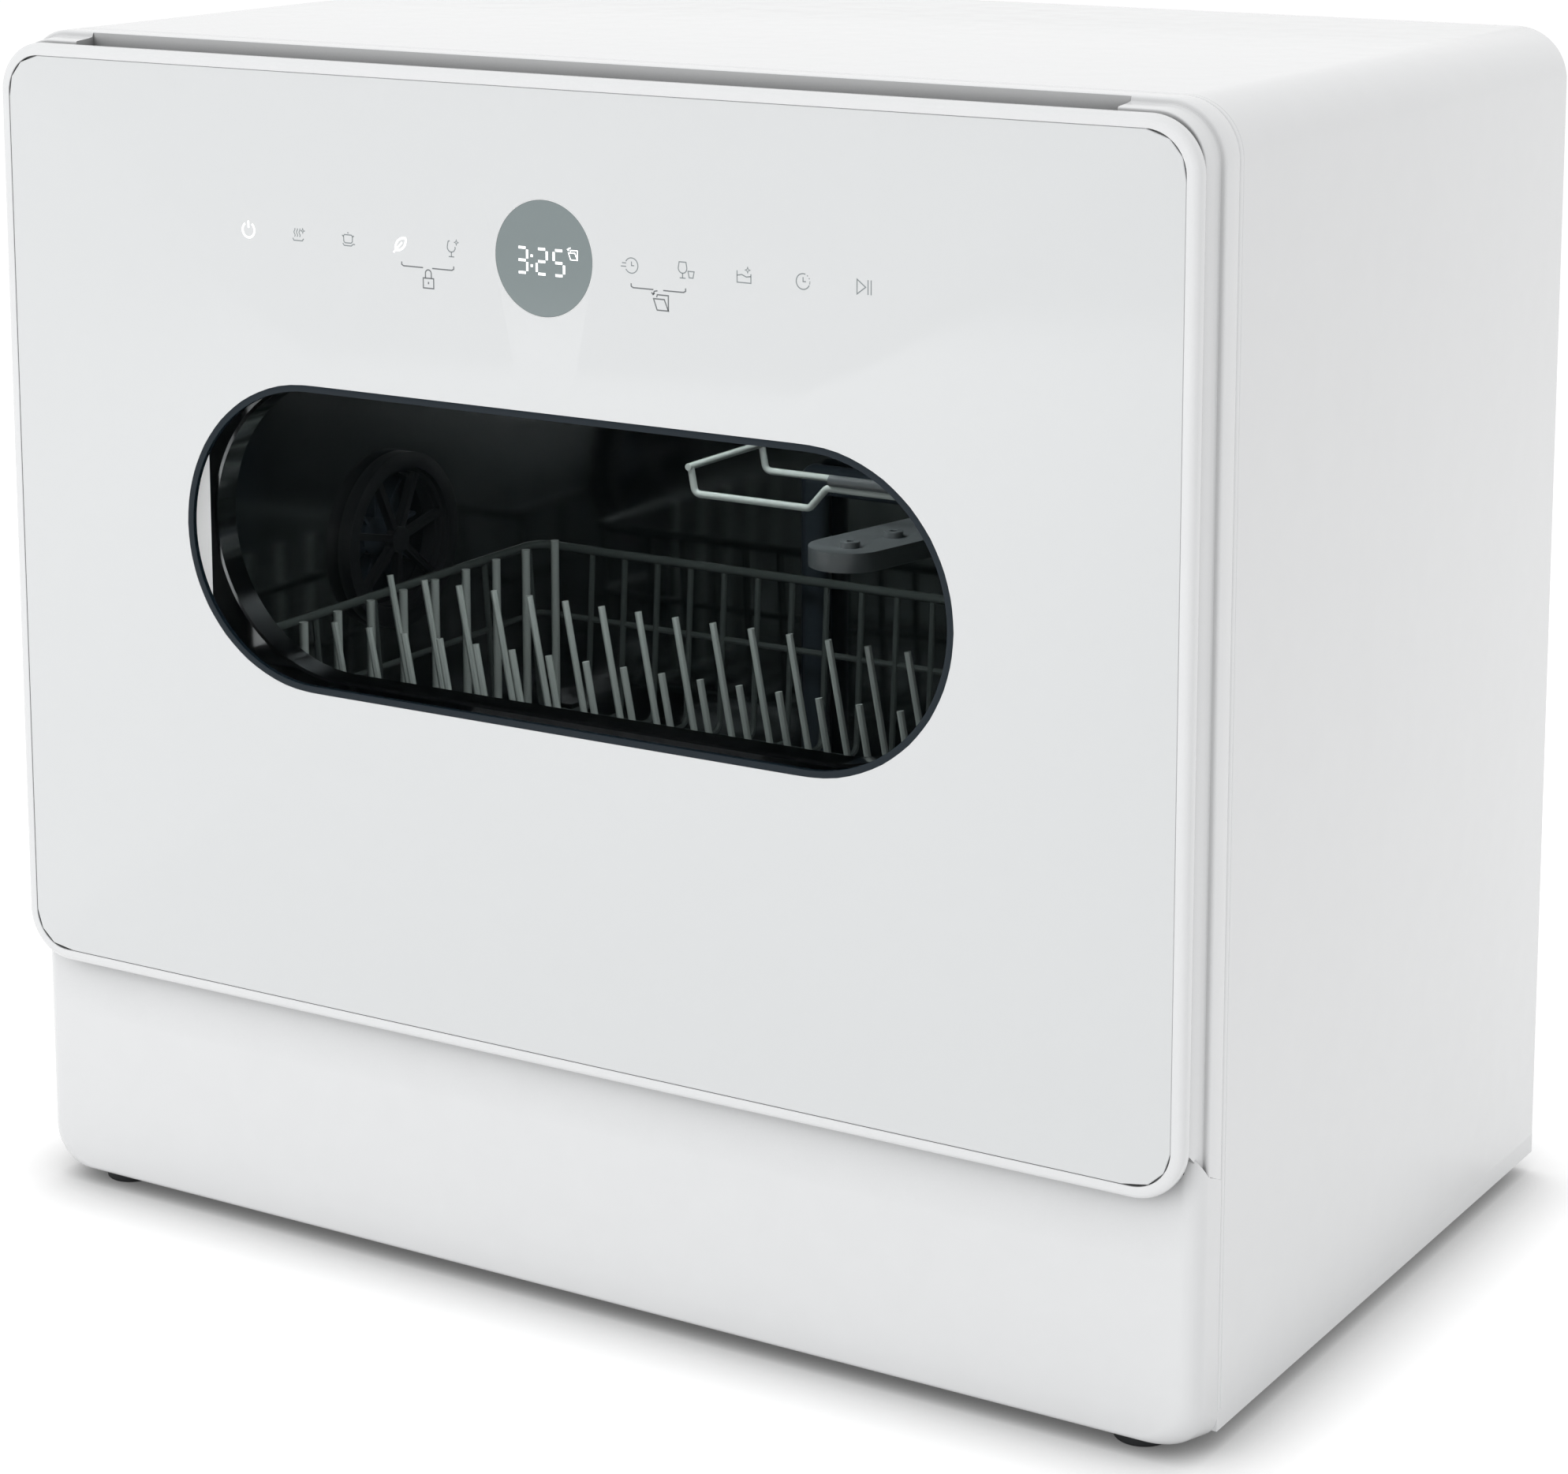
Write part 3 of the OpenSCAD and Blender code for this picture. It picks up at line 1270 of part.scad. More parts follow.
base_tray();
plinth();
bezel();
outer_wrap();
back_panel();
back_screws();
connector_niche();
inlet_valve();
drain_spigot();
power_inlet();
foot_front_left();
foot_front_right();
foot_back_left();
foot_back_right();
tub();
tub_seal();
basket_rails();
hinge_beam();
hinge_straps();
catch_lever();
sump();
filter_plate();
filter_cup();
spray_hub();
lower_spray_arm();
supply_pipe();
mid_spray_arm();
shelf_brackets();
cup_shelf();
vent_grille();
fan_housing();
fan_impeller();
softener();
salt_cap();
float_cap();
wash_pump();
wash_impeller();
drain_pump();
power_board();
drain_hose();
feed_hose();
door_frame();
door_glass();
window_ring();
window_pane();
inner_pane();
door_liner();
display_lens();
control_board();
dispenser_body();
dispenser_lid();
rinse_cap();
hinge_pins();
basket_frame();
tine_row_front();
tine_row_back();
tine_clips();
wheels_front();
wheels_back();
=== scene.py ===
"""A white countertop dishwasher with a glass door, a stadium window and a wire basket inside."""

import json
import logging
import math
from dataclasses import dataclass, field
from enum import Enum
from typing import Callable, ClassVar, Iterable, Optional, Sequence, Union

import bmesh
import bpy
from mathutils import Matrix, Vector

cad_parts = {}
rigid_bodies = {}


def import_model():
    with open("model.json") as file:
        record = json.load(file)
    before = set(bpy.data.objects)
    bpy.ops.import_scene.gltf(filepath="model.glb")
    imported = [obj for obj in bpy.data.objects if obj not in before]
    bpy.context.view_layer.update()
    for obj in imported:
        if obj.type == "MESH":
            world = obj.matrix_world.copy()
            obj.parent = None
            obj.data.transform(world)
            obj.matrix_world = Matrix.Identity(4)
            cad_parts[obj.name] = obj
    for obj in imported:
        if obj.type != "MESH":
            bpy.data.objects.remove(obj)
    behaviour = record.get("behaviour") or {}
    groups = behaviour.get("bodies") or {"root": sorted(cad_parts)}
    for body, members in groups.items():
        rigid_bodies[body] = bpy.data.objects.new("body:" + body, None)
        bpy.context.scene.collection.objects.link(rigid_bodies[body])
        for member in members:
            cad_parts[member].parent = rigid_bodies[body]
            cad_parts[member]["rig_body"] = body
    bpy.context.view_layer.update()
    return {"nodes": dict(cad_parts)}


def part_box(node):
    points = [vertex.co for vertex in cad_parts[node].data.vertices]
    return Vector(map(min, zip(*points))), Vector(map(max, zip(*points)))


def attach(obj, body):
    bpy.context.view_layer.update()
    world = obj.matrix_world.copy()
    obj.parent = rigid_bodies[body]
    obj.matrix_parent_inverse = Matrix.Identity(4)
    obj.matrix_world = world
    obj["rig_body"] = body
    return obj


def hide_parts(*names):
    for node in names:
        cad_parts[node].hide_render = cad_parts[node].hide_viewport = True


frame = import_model()

log = logging.getLogger("dishwasher")
MM = 0.001
Point = tuple[float, float, float]
Flat = tuple[float, float]
Colour = tuple[float, float, float]


def linear(code: str) -> Colour:
    """Turns a written screen colour such as "e9ebec" into linear light."""
    parts = [int(code[i:i + 2], 16) / 255 for i in (0, 2, 4)]
    return tuple(c / 12.92 if c <= 0.04045 else ((c + 0.055) / 1.055) ** 2.4 for c in parts)


# Shader graphs


class Value:
    """A number socket that adds Math nodes when it is used in an expression."""

    def __init__(self, graph: "Graph", socket: bpy.types.NodeSocket) -> None:
        """Wraps one output socket of the graph."""
        self.graph = graph
        self.socket = socket

    def _join(self, operation: str, first: "Number", second: "Number") -> "Value":
        """Adds one Math node."""
        return self.graph.node("ShaderNodeMath", {"operation": operation}, {0: first, 1: second})

    def __add__(self, other: "Number") -> "Value":
        """self + other."""
        return self._join("ADD", self, other)

    def __radd__(self, other: "Number") -> "Value":
        """other + self."""
        return self._join("ADD", other, self)

    def __sub__(self, other: "Number") -> "Value":
        """self - other."""
        return self._join("SUBTRACT", self, other)

    def __rsub__(self, other: "Number") -> "Value":
        """other - self."""
        return self._join("SUBTRACT", other, self)

    def __mul__(self, other: "Number") -> "Value":
        """self * other."""
        return self._join("MULTIPLY", self, other)

    def __rmul__(self, other: "Number") -> "Value":
        """other * self."""
        return self._join("MULTIPLY", other, self)


Number = Union[Value, float, int]


class Graph:
    """The node tree of one material or of the world."""

    def __init__(self, owner: Union[bpy.types.Material, bpy.types.World]) -> None:
        """Empties the owner's node tree."""
        owner.use_nodes = True
        self.tree = owner.node_tree
        self.tree.nodes.clear()

    def raw(self, kind: str, settings: Optional[dict] = None, inputs: Optional[dict] = None) -> bpy.types.Node:
        """Adds a node.

        Args:
            kind: The node's type name.
            settings: Attributes that are set first, such as a Math node's operation.
            inputs: Values or links by socket name or number.

        Returns:
            The new node.
        """
        node = self.tree.nodes.new(kind)
        for key, value in (settings or {}).items():
            setattr(node, key, value)
        for key, value in (inputs or {}).items():
            if isinstance(value, Value):
                self.tree.links.new(value.socket, node.inputs[key])
            elif isinstance(value, bpy.types.NodeSocket):
                self.tree.links.new(value, node.inputs[key])
            else:
                node.inputs[key].default_value = value
        return node

    def node(self, kind: str, settings: Optional[dict] = None, inputs: Optional[dict] = None,
             output: Union[int, str] = 0) -> Value:
        """Adds a node and wraps one of its outputs."""
        return Value(self, self.raw(kind, settings, inputs).outputs[output])

    def noise(self, scale: float, detail: float = 2.0, stretch: Point = (1.0, 1.0, 1.0)) -> Value:
        """Noise on Object coordinates, from 0 to 1."""
        place = self.raw("ShaderNodeTexCoord").outputs["Object"]
        spread = self.raw("ShaderNodeMapping", inputs={"Vector": place, "Scale": stretch})
        return self.node("ShaderNodeTexNoise", {}, {"Vector": spread.outputs[0], "Scale": scale, "Detail": detail})

    def finish(self, shader: bpy.types.NodeSocket, kind: str = "ShaderNodeOutputMaterial") -> None:
        """Links the last shader to the output node."""
        self.raw(kind, inputs={"Surface": shader})


@dataclass(frozen=True)
class Finish:
    """One finish of the appliance.

    Attributes:
        name: The material's name.
        slot: The record's material slot that it belongs to; not used.
        code: Its colour as written on a screen.
        roughness: Its mean roughness.
        metallic: 1 for bare metal.
        coat: The weight of a clear gloss coat.
        alpha: Less than 1 for see-through glass.
        mottle: The share by which the colour wanders.
        scuff: The amount by which the roughness wanders.
        grain: The noise's scale per metre.
        stretch: How the grain is drawn out along the axes.
        relief: The strength of the fine bumps.
        glow: The strength of its own light: true light for the lit symbols, painted light for the window's end strip.
        shine: The strength of its plain reflections, 0.5 for common plastic and glass.
        painted_shade: The share of its colour that turns to painted shade, from ambient occlusion, in narrow corners,
            gaps and under overhangs.
    """

    name: str
    slot: str
    code: str
    roughness: float
    metallic: float = 0.0
    coat: float = 0.0
    alpha: float = 1.0
    mottle: float = 0.015
    scuff: float = 0.04
    grain: float = 60.0
    stretch: Point = (1.0, 1.0, 1.0)
    relief: float = 0.0
    glow: float = 0.0
    shine: float = 0.5
    painted_shade: float = 0.0
    made: ClassVar[dict] = {}

    def material(self) -> bpy.types.Material:
        """Builds the material once and returns it."""
        if self.name in Finish.made:
            return Finish.made[self.name]
        material = bpy.data.materials.new(self.name)
        graph = Graph(material)
        cloud = graph.noise(self.grain, stretch=self.stretch)
        colour = linear(self.code)
        dark = tuple(c * (1 - self.mottle) for c in colour) + (1.0,)
        light = tuple(min(1.0, c * (1 + self.mottle)) for c in colour) + (1.0,)
        tone = graph.raw("ShaderNodeMix", {"data_type": "RGBA"}, {0: cloud, 6: dark, 7: light}).outputs[2]
        # Painted shade: ambient occlusion darkens the colour in narrow corners, gaps and under the door. It fades out
        # between 60 and 20 mm above the floor.
        if self.painted_shade:
            near = graph.raw("ShaderNodeAmbientOcclusion", inputs={"Distance": 0.028})
            place = graph.raw("ShaderNodeNewGeometry").outputs["Position"]
            height = graph.raw("ShaderNodeSeparateXYZ", inputs={0: place}).outputs[2]
            high = graph.node("ShaderNodeMapRange", inputs={"Value": height, "From Min": 0.02, "From Max": 0.06})
            lit = 1 - (1 - Value(graph, near.outputs["AO"])) * high * self.painted_shade
            tone = graph.raw("ShaderNodeMix", {"data_type": "RGBA", "blend_type": "MULTIPLY"},
                             {0: 1.0, 6: tone, 7: lit}).outputs[2]
        rough = cloud * (2 * self.scuff) + (self.roughness - self.scuff)
        inputs = {"Base Color": tone, "Roughness": rough, "Metallic": self.metallic, "Alpha": self.alpha,
                  "Coat Weight": self.coat, "Coat Roughness": 0.04, "Specular IOR Level": self.shine}
        if self.relief:
            fine = graph.noise(self.grain * 12, stretch=self.stretch)
            bump = graph.raw("ShaderNodeBump", inputs={"Height": fine, "Strength": self.relief, "Distance": 0.0002})
            inputs["Normal"] = bump.outputs[0]
        if self.glow:
            inputs["Emission Color"] = colour + (1.0,)
            inputs["Emission Strength"] = self.glow
        shader = graph.raw("ShaderNodeBsdfPrincipled", inputs=inputs)
        graph.finish(shader.outputs[0])
        Finish.made[self.name] = material
        return material


class Coat(Enum):
    """The finishes by what they cover."""

    # The white moulding carries painted shade in its corners, gaps and under the door.
    SHELL = Finish("white moulding", "white_plastic", "f0f1f2", 0.24, coat=0.35, relief=0.02, painted_shade=1.0)
    # Painted light: the window tunnel's pale end strip glows so that it stays bright whatever light reaches it.
    STRIP = Finish("pale inner edge with painted glow", "white_plastic", "f2f3f3", 0.4, glow=0.3)
    STEEL_SHELL = Finish("white enamelled steel", "white_steel", "f0f1f2", 0.22, coat=0.4, relief=0.02)
    INNER_WHITE = Finish("white inner moulding", "inner_white", "e2e4e4", 0.45, relief=0.05)
    ZINC = Finish("galvanised sheet", "zinc_steel", "b4b8bb", 0.42, 1.0, mottle=0.12, scuff=0.1, grain=160.0)
    STAINLESS = Finish("bright stainless", "stainless", "b9bcbd", 0.13, 1.0, grain=30.0, scuff=0.03,
                       stretch=(1.0, 1.0, 14.0))
    SCREW = Finish("black screw steel", "screw_steel", "35383a", 0.4, 1.0)
    BLACK = Finish("black moulding", "black_plastic", "1d1f21", 0.45, relief=0.12)
    RUBBER = Finish("rubber", "seal_rubber", "26282a", 0.7, relief=0.15)
    GREY = Finish("grey moulding", "grey_plastic", "8f9799", 0.38, relief=0.08)
    ARM = Finish("dark grey moulding", "grey_plastic", "5a6163", 0.3, relief=0.05)
    BLUE = Finish("slate blue moulding", "blue_plastic", "2c353c", 0.4, relief=0.08)
    # One coated wire in two tones: lighter on the tine rows, cup tines and shelf wires, darker on the basket frame.
    WIRE = Finish("grey coated wire", "coated_wire", "b0bcb8", 0.25, coat=0.5)
    WIRE_DARK = Finish("darker tone of coated wire", "coated_wire", "4d5654", 0.25, coat=0.5)
    GLASS = Finish("white back-painted glass", "white_glass", "e6e8e9", 0.08, coat=0.5, mottle=0.004, scuff=0.01)
    RING = Finish("dark window print", "ring_glass", "18232b", 0.2, shine=0.2)
    TINT = Finish("tinted window glass", "tinted_glass", "0b1011", 0.04, alpha=0.06, scuff=0.01, shine=0.06)
    DISPLAY = Finish("grey display lens", "display_glass", "808c8d", 0.1, coat=0.5, mottle=0.004)
    PRINT = Finish("grey panel print", "white_glass", "8d9496", 0.4)
    PRINT_DARK = Finish("darker panel print", "white_glass", "75797b", 0.4)
    HALO = Finish("pale display edge", "display_glass", "f4f5f5", 0.3)
    LIT = Finish("lit symbol", "display_glass", "ffffff", 0.4, glow=1.0)
    CIRCUIT = Finish("circuit board", "circuit", "1f5a3c", 0.4, mottle=0.1, grain=300.0)


# Shapes


@dataclass(frozen=True)
class Datum:
    """Turns the cabinet's own millimetres into the frame: y from the wrap's seam, z from the base."""

    seam: float
    base: float

    def at(self, x: float, y: float, z: float) -> Vector:
        """A point of the cabinet in the frame, in metres."""
        return Vector((x * MM, y * MM + self.seam, z * MM + self.base))


DATUM = Datum(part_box("tub")[0].y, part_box("base_tray")[0].z)


def own_box(node: str) -> tuple[Vector, Vector]:
    """A CAD node's corners in the cabinet's own millimetres."""
    shift = Vector((0.0, DATUM.seam, DATUM.base))
    low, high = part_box(node)
    return (low - shift) / MM, (high - shift) / MM


def arc(x: float, z: float, r: float, start: float, end: float, steps: int = 12) -> list[Flat]:
    """Points on an arc, angles in degrees from +x towards +z."""
    turn = [math.radians(start + (end - start) * i / steps) for i in range(steps + 1)]
    return [(x + r * math.cos(a), z + r * math.sin(a)) for a in turn]


def fillet(corners: Sequence[tuple[float, float, float]], steps: int = 5) -> list[Flat]:
    """Rounds a closed outline's corners.

    Args:
        corners: Its corners as two coordinates and a radius.
        steps: Segments on each round.

    Returns:
        The points of the rounded outline.
    """
    points: list[Flat] = []
    count = len(corners)
    for i, (a, b, r) in enumerate(corners):
        here = Vector((a, b))
        if r <= 0:
            points.append((a, b))
            continue
        back = (Vector(corners[i - 1][:2]) - here).normalized()
        ahead = (Vector(corners[(i + 1) % count][:2]) - here).normalized()
        half = back.angle(ahead) / 2
        reach = r / math.tan(half)
        centre = here + (back + ahead).normalized() * (r / math.sin(half))
        first = here + back * reach - centre
        sweep_angle = (math.pi - 2 * half) * (1 if back.x * ahead.y - back.y * ahead.x < 0 else -1)
        for k in range(steps + 1):
            turn = sweep_angle * k / steps
            cos, sin = math.cos(turn), math.sin(turn)
            points.append((centre.x + first.x * cos - first.y * sin, centre.y + first.x * sin + first.y * cos))
    return points


@dataclass(frozen=True)
class Panel:
    """A rectangle seen from the front, on the middle line, with round corners."""

    half_width: float
    low: float
    high: float
    top_radius: float
    low_radius: float = 0.0
    steps: int = 14

    def outline(self, inset: float = 0.0) -> list[Flat]:
        """The closed outline, moved inwards by inset."""
        return self.arch(inset) + self._low_corners(inset)

    def arch(self, inset: float = 0.0, low: Optional[float] = None) -> list[Flat]:
        """The open path up the right side, over the top and down the left side.

        Args:
            inset: How far it is moved inwards.
            low: Where both legs end; None leaves the legs to the closed outline.

        Returns:
            The path's points.
        """
        hx = self.half_width - inset
        top = self.high - inset
        r = max(self.top_radius - inset, 0.2)
        path = arc(hx - r, top - r, r, 0, 90, self.steps) + arc(-hx + r, top - r, r, 90, 180, self.steps)
        if low is None:
            return path
        return [(hx, low)] + path + [(-hx, low)]

    def _low_corners(self, inset: float) -> list[Flat]:
        """The two lower corners, from left to right."""
        hx = self.half_width - inset
        low = self.low + inset
        r = max(self.low_radius - inset, 0.2)
        return arc(-hx + r, low + r, r, 180, 270, self.steps) + arc(hx - r, low + r, r, 270, 360, self.steps)


@dataclass(frozen=True)
class Stadium:
    """A slot shape with round ends."""

    x: float
    z: float
    half_width: float
    radius: float
    steps: int = 28

    def outline(self, inset: float = 0.0) -> list[Flat]:
        """The closed outline, moved inwards by inset."""
        r = self.radius - inset
        reach = self.half_width - self.radius
        return (arc(self.x + reach, self.z, r, -90, 90, self.steps)
                + arc(self.x - reach, self.z, r, 90, 270, self.steps))


class Piece:
    """A mesh under construction in the cabinet's own millimetres."""

    def __init__(self, name: str, coat: Coat) -> None:
        """Starts an empty mesh with its name and finish."""
        self.name = name
        self.coat = coat
        self.shape = bmesh.new()

    def skin(self, rings: Sequence[Sequence[Point]], ring_loop: bool = False, point_loop: bool = True) -> "Piece":
        """Adds a skin over rings of points, closed at its open ends.

        Args:
            rings: Rows of points, all of one length.
            ring_loop: Joins the last ring to the first.
            point_loop: Joins each ring's last point to its first.

        Returns:
            The piece itself.
        """
        rows = [[self.shape.verts.new(p) for p in ring] for ring in rings]
        count = len(rows[0])
        row_pairs = list(zip(rows, rows[1:] + rows[:1]))
        if not ring_loop:
            row_pairs.pop()
        for one, two in row_pairs:
            for i in range(count if point_loop else count - 1):
                j = (i + 1) % count
                self.shape.faces.new((one[i], one[j], two[j], two[i]))
        if not ring_loop:
            self.shape.faces.new(rows[0][::-1])
            self.shape.faces.new(rows[-1])
        if not point_loop:
            self.shape.faces.new([row[0] for row in rows])
            self.shape.faces.new([row[-1] for row in rows][::-1])
        return self

    def sweep(self, outline: Callable[[float], list[Flat]], profile: Sequence[Flat]) -> "Piece":
        """Runs a closed profile of (y, inset) round a closed outline seen from the front."""
        return self.skin([[(x, y, z) for x, z in outline(inset)] for y, inset in profile], ring_loop=True)

    def plate(self, outline: Callable[[float], list[Flat]], y0: float, y1: float, edge: float = 0.0) -> "Piece":
        """A plate from y0 to y1 with its edges rounded by edge."""
        rounds = [(1 - math.cos(a), 1 - math.sin(a)) for a in (math.radians(18 * k) for k in range(6))]
        if not edge:
            steps = [(y0, 0.0), (y1, 0.0)]
        else:
            steps = [(y0 + edge * depth, edge * inset) for depth, inset in rounds]
            steps += [(y1 - edge * depth, edge * inset) for depth, inset in reversed(rounds)]
        return self.skin([[(x, y, z) for x, z in outline(inset)] for y, inset in steps])

    def box(self, low: Point, high: Point) -> "Piece":
        """A plain block between two corners."""
        (x0, y0, z0), (x1, y1, z1) = low, high
        return self.skin([[(x0, y, z0), (x1, y, z0), (x1, y, z1), (x0, y, z1)] for y in (y0, y1)])

    def turned(self, centre: Point, axis: int, profile: Sequence[Flat], steps: int = 48) -> "Piece":
        """A turned solid.

        Args:
            centre: A point on the axis.
            axis: 0, 1 or 2 for x, y or z.
            profile: Pairs of radius and place along the axis, from end to end; a closed loop if it ends
                where it begins.
            steps: Segments round the axis.

        Returns:
            The piece itself.
        """
        closed = tuple(profile[0]) == tuple(profile[-1])
        rows = profile[:-1] if closed else profile
        rings = []
        for radius, along in rows:
            ring = []
            for k in range(steps):
                turn = 2 * math.pi * k / steps
                spot = [radius * math.cos(turn), radius * math.sin(turn)]
                spot.insert(axis, along)
                ring.append(tuple(c + s for c, s in zip(centre, spot)))
            rings.append(ring)
        return self.skin(rings, ring_loop=closed)

    def build(self, body: str, *nodes: str, sharp: float = 32.0) -> bpy.types.Object:
        """Makes the object, puts it in the frame and rides it on a body.

        Args:
            body: The CAD body that carries it.
            *nodes: The CAD nodes that it stands for.
            sharp: The angle in degrees past which an edge stays sharp.

        Returns:
            The finished object.
        """
        bmesh.ops.remove_doubles(self.shape, verts=self.shape.verts, dist=1e-4)
        bmesh.ops.recalc_face_normals(self.shape, faces=self.shape.faces)
        for vert in self.shape.verts:
            vert.co = DATUM.at(*vert.co)
        mesh = bpy.data.meshes.new(self.name)
        self.shape.to_mesh(mesh)
        self.shape.free()
        return settle(mesh, self.name, self.coat, body, nodes, sharp)


def settle(mesh: bpy.types.Mesh, name: str, coat: Coat, body: str, nodes: Iterable[str],
           sharp: float = 32.0) -> bpy.types.Object:
    """Links a finished mesh, dresses it and makes its frame calls."""
    mesh.polygons.foreach_set("use_smooth", [True] * len(mesh.polygons))
    mesh.set_sharp_from_angle(angle=math.radians(sharp))
    mesh.materials.clear()
    mesh.materials.append(coat.value.material())
    piece = bpy.data.objects.new(name, mesh)
    bpy.context.scene.collection.objects.link(piece)
    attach(piece, body)
    for node in nodes:
        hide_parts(node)
    log.info("%s: %d faces on %s", name, len(mesh.polygons), body)
    return piece


def cut(piece: bpy.types.Object, blocks: Sequence[tuple[Point, Point]]) -> None:
    """Cuts plain blocks, given by their corners in own millimetres, out of a piece."""
    cutter = Piece("cutter", Coat.SHELL)
    for low, high in blocks:
        cutter.box(low, high)
    bmesh.ops.recalc_face_normals(cutter.shape, faces=cutter.shape.faces)
    for vert in cutter.shape.verts:
        vert.co = DATUM.at(*vert.co)
    mesh = bpy.data.meshes.new("cutter")
    cutter.shape.to_mesh(mesh)
    cutter.shape.free()
    tool = bpy.data.objects.new("cutter", mesh)
    bpy.context.scene.collection.objects.link(tool)
    modifier = piece.modifiers.new("cut", "BOOLEAN")
    modifier.object = tool
    modifier.operation = "DIFFERENCE"
    modifier.solver = "EXACT"
    modifier.use_self = True
    depsgraph = bpy.context.evaluated_depsgraph_get()
    done = bpy.data.meshes.new_from_object(piece.evaluated_get(depsgraph))
    piece.modifiers.clear()
    piece.data = done
    done.polygons.foreach_set("use_smooth", [True] * len(done.polygons))
    done.set_sharp_from_angle(angle=math.radians(32))
    bpy.data.objects.remove(tool)


def smooth_copy(node: str, coat: Coat, bevel: float = 0.0) -> bpy.types.Object:
    """A copy of a CAD node with joined faces, smooth rounds and soft edges.

    Args:
        node: The CAD node that it stands for.
        coat: Its finish.
        bevel: The width of its edges' rounds in millimetres, or 0.

    Returns:
        The finished object.
    """
    source = frame["nodes"][node]
    shape = bmesh.new()
    shape.from_mesh(source.data)
    bmesh.ops.remove_doubles(shape, verts=shape.verts, dist=1e-6)
    bmesh.ops.dissolve_limit(shape, angle_limit=math.radians(1), verts=shape.verts, edges=shape.edges)
    mesh = bpy.data.meshes.new(node + "_smooth")
    shape.to_mesh(mesh)
    shape.free()
    if bevel:
        helper = bpy.data.objects.new(node + "_helper", mesh)
        bpy.context.scene.collection.objects.link(helper)
        modifier = helper.modifiers.new("soft edges", "BEVEL")
        modifier.width = bevel * MM
        modifier.segments = 3
        modifier.limit_method = "ANGLE"
        modifier.angle_limit = math.radians(35)
        depsgraph = bpy.context.evaluated_depsgraph_get()
        mesh = bpy.data.meshes.new_from_object(helper.evaluated_get(depsgraph))
        bpy.data.objects.remove(helper)
    return settle(mesh, node + "_smooth", coat, source["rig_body"], [node])


def dress(coat: Coat, *nodes: str) -> None:
    """Gives CAD nodes that are shown as they are their finish."""
    for node in nodes:
        mesh = frame["nodes"][node].data
        mesh.materials.clear()
        mesh.materials.append(coat.value.material())
        log.info("%s: shown as it is, in %s", node, coat.value.name)


# Geometry Nodes


class NodeTree:
    """A Geometry Nodes tree with named number inputs."""

    def __init__(self, name: str, sizes: dict[str, float]) -> None:
        """Makes the tree's interface."""
        self.group = bpy.data.node_groups.new(name, "GeometryNodeTree")
        face = self.group.interface
        face.new_socket("Geometry", in_out="INPUT", socket_type="NodeSocketGeometry")
        self.sizes = sizes
        self.keys = {}
        for label in sizes:
            socket = face.new_socket(label, in_out="INPUT", socket_type="NodeSocketFloat")
            self.keys[label] = socket.identifier
        face.new_socket("Geometry", in_out="OUTPUT", socket_type="NodeSocketGeometry")
        self.source = self.group.nodes.new("NodeGroupInput")
        self.sink = self.group.nodes.new("NodeGroupOutput")

    def node(self, kind: str, settings: Optional[dict] = None, inputs: Optional[dict] = None) -> bpy.types.Node:
        """Adds one node with its settings, values and links."""
        node = self.group.nodes.new(kind)
        for key, value in (settings or {}).items():
            setattr(node, key, value)
        for key, value in (inputs or {}).items():
            if isinstance(value, bpy.types.NodeSocket):
                self.group.links.new(value, node.inputs[key])
            else:
                node.inputs[key].default_value = value
        return node

    def close(self, geometry: bpy.types.NodeSocket, coat: Coat) -> None:
        """Ends the tree in real geometry with its material."""
        real = self.node("GeometryNodeRealizeInstances", inputs={"Geometry": geometry})
        last = self.node("GeometryNodeSetMaterial", inputs={"Geometry": real.outputs[0],
                                                            "Material": coat.value.material()})
        self.group.links.new(last.outputs[0], self.sink.inputs[0])

    def apply(self, mesh: bpy.types.Mesh) -> bpy.types.Mesh:
        """Runs the tree on a mesh and returns the plain result."""
        helper = bpy.data.objects.new("tree helper", mesh)
        bpy.context.scene.collection.objects.link(helper)
        modifier = helper.modifiers.new("tree", "NODES")
        modifier.node_group = self.group
        for label, value in self.sizes.items():
            modifier[self.keys[label]] = value
        depsgraph = bpy.context.evaluated_depsgraph_get()
        result = bpy.data.meshes.new_from_object(helper.evaluated_get(depsgraph))
        helper.modifiers.clear()
        bpy.data.objects.remove(helper)
        return result


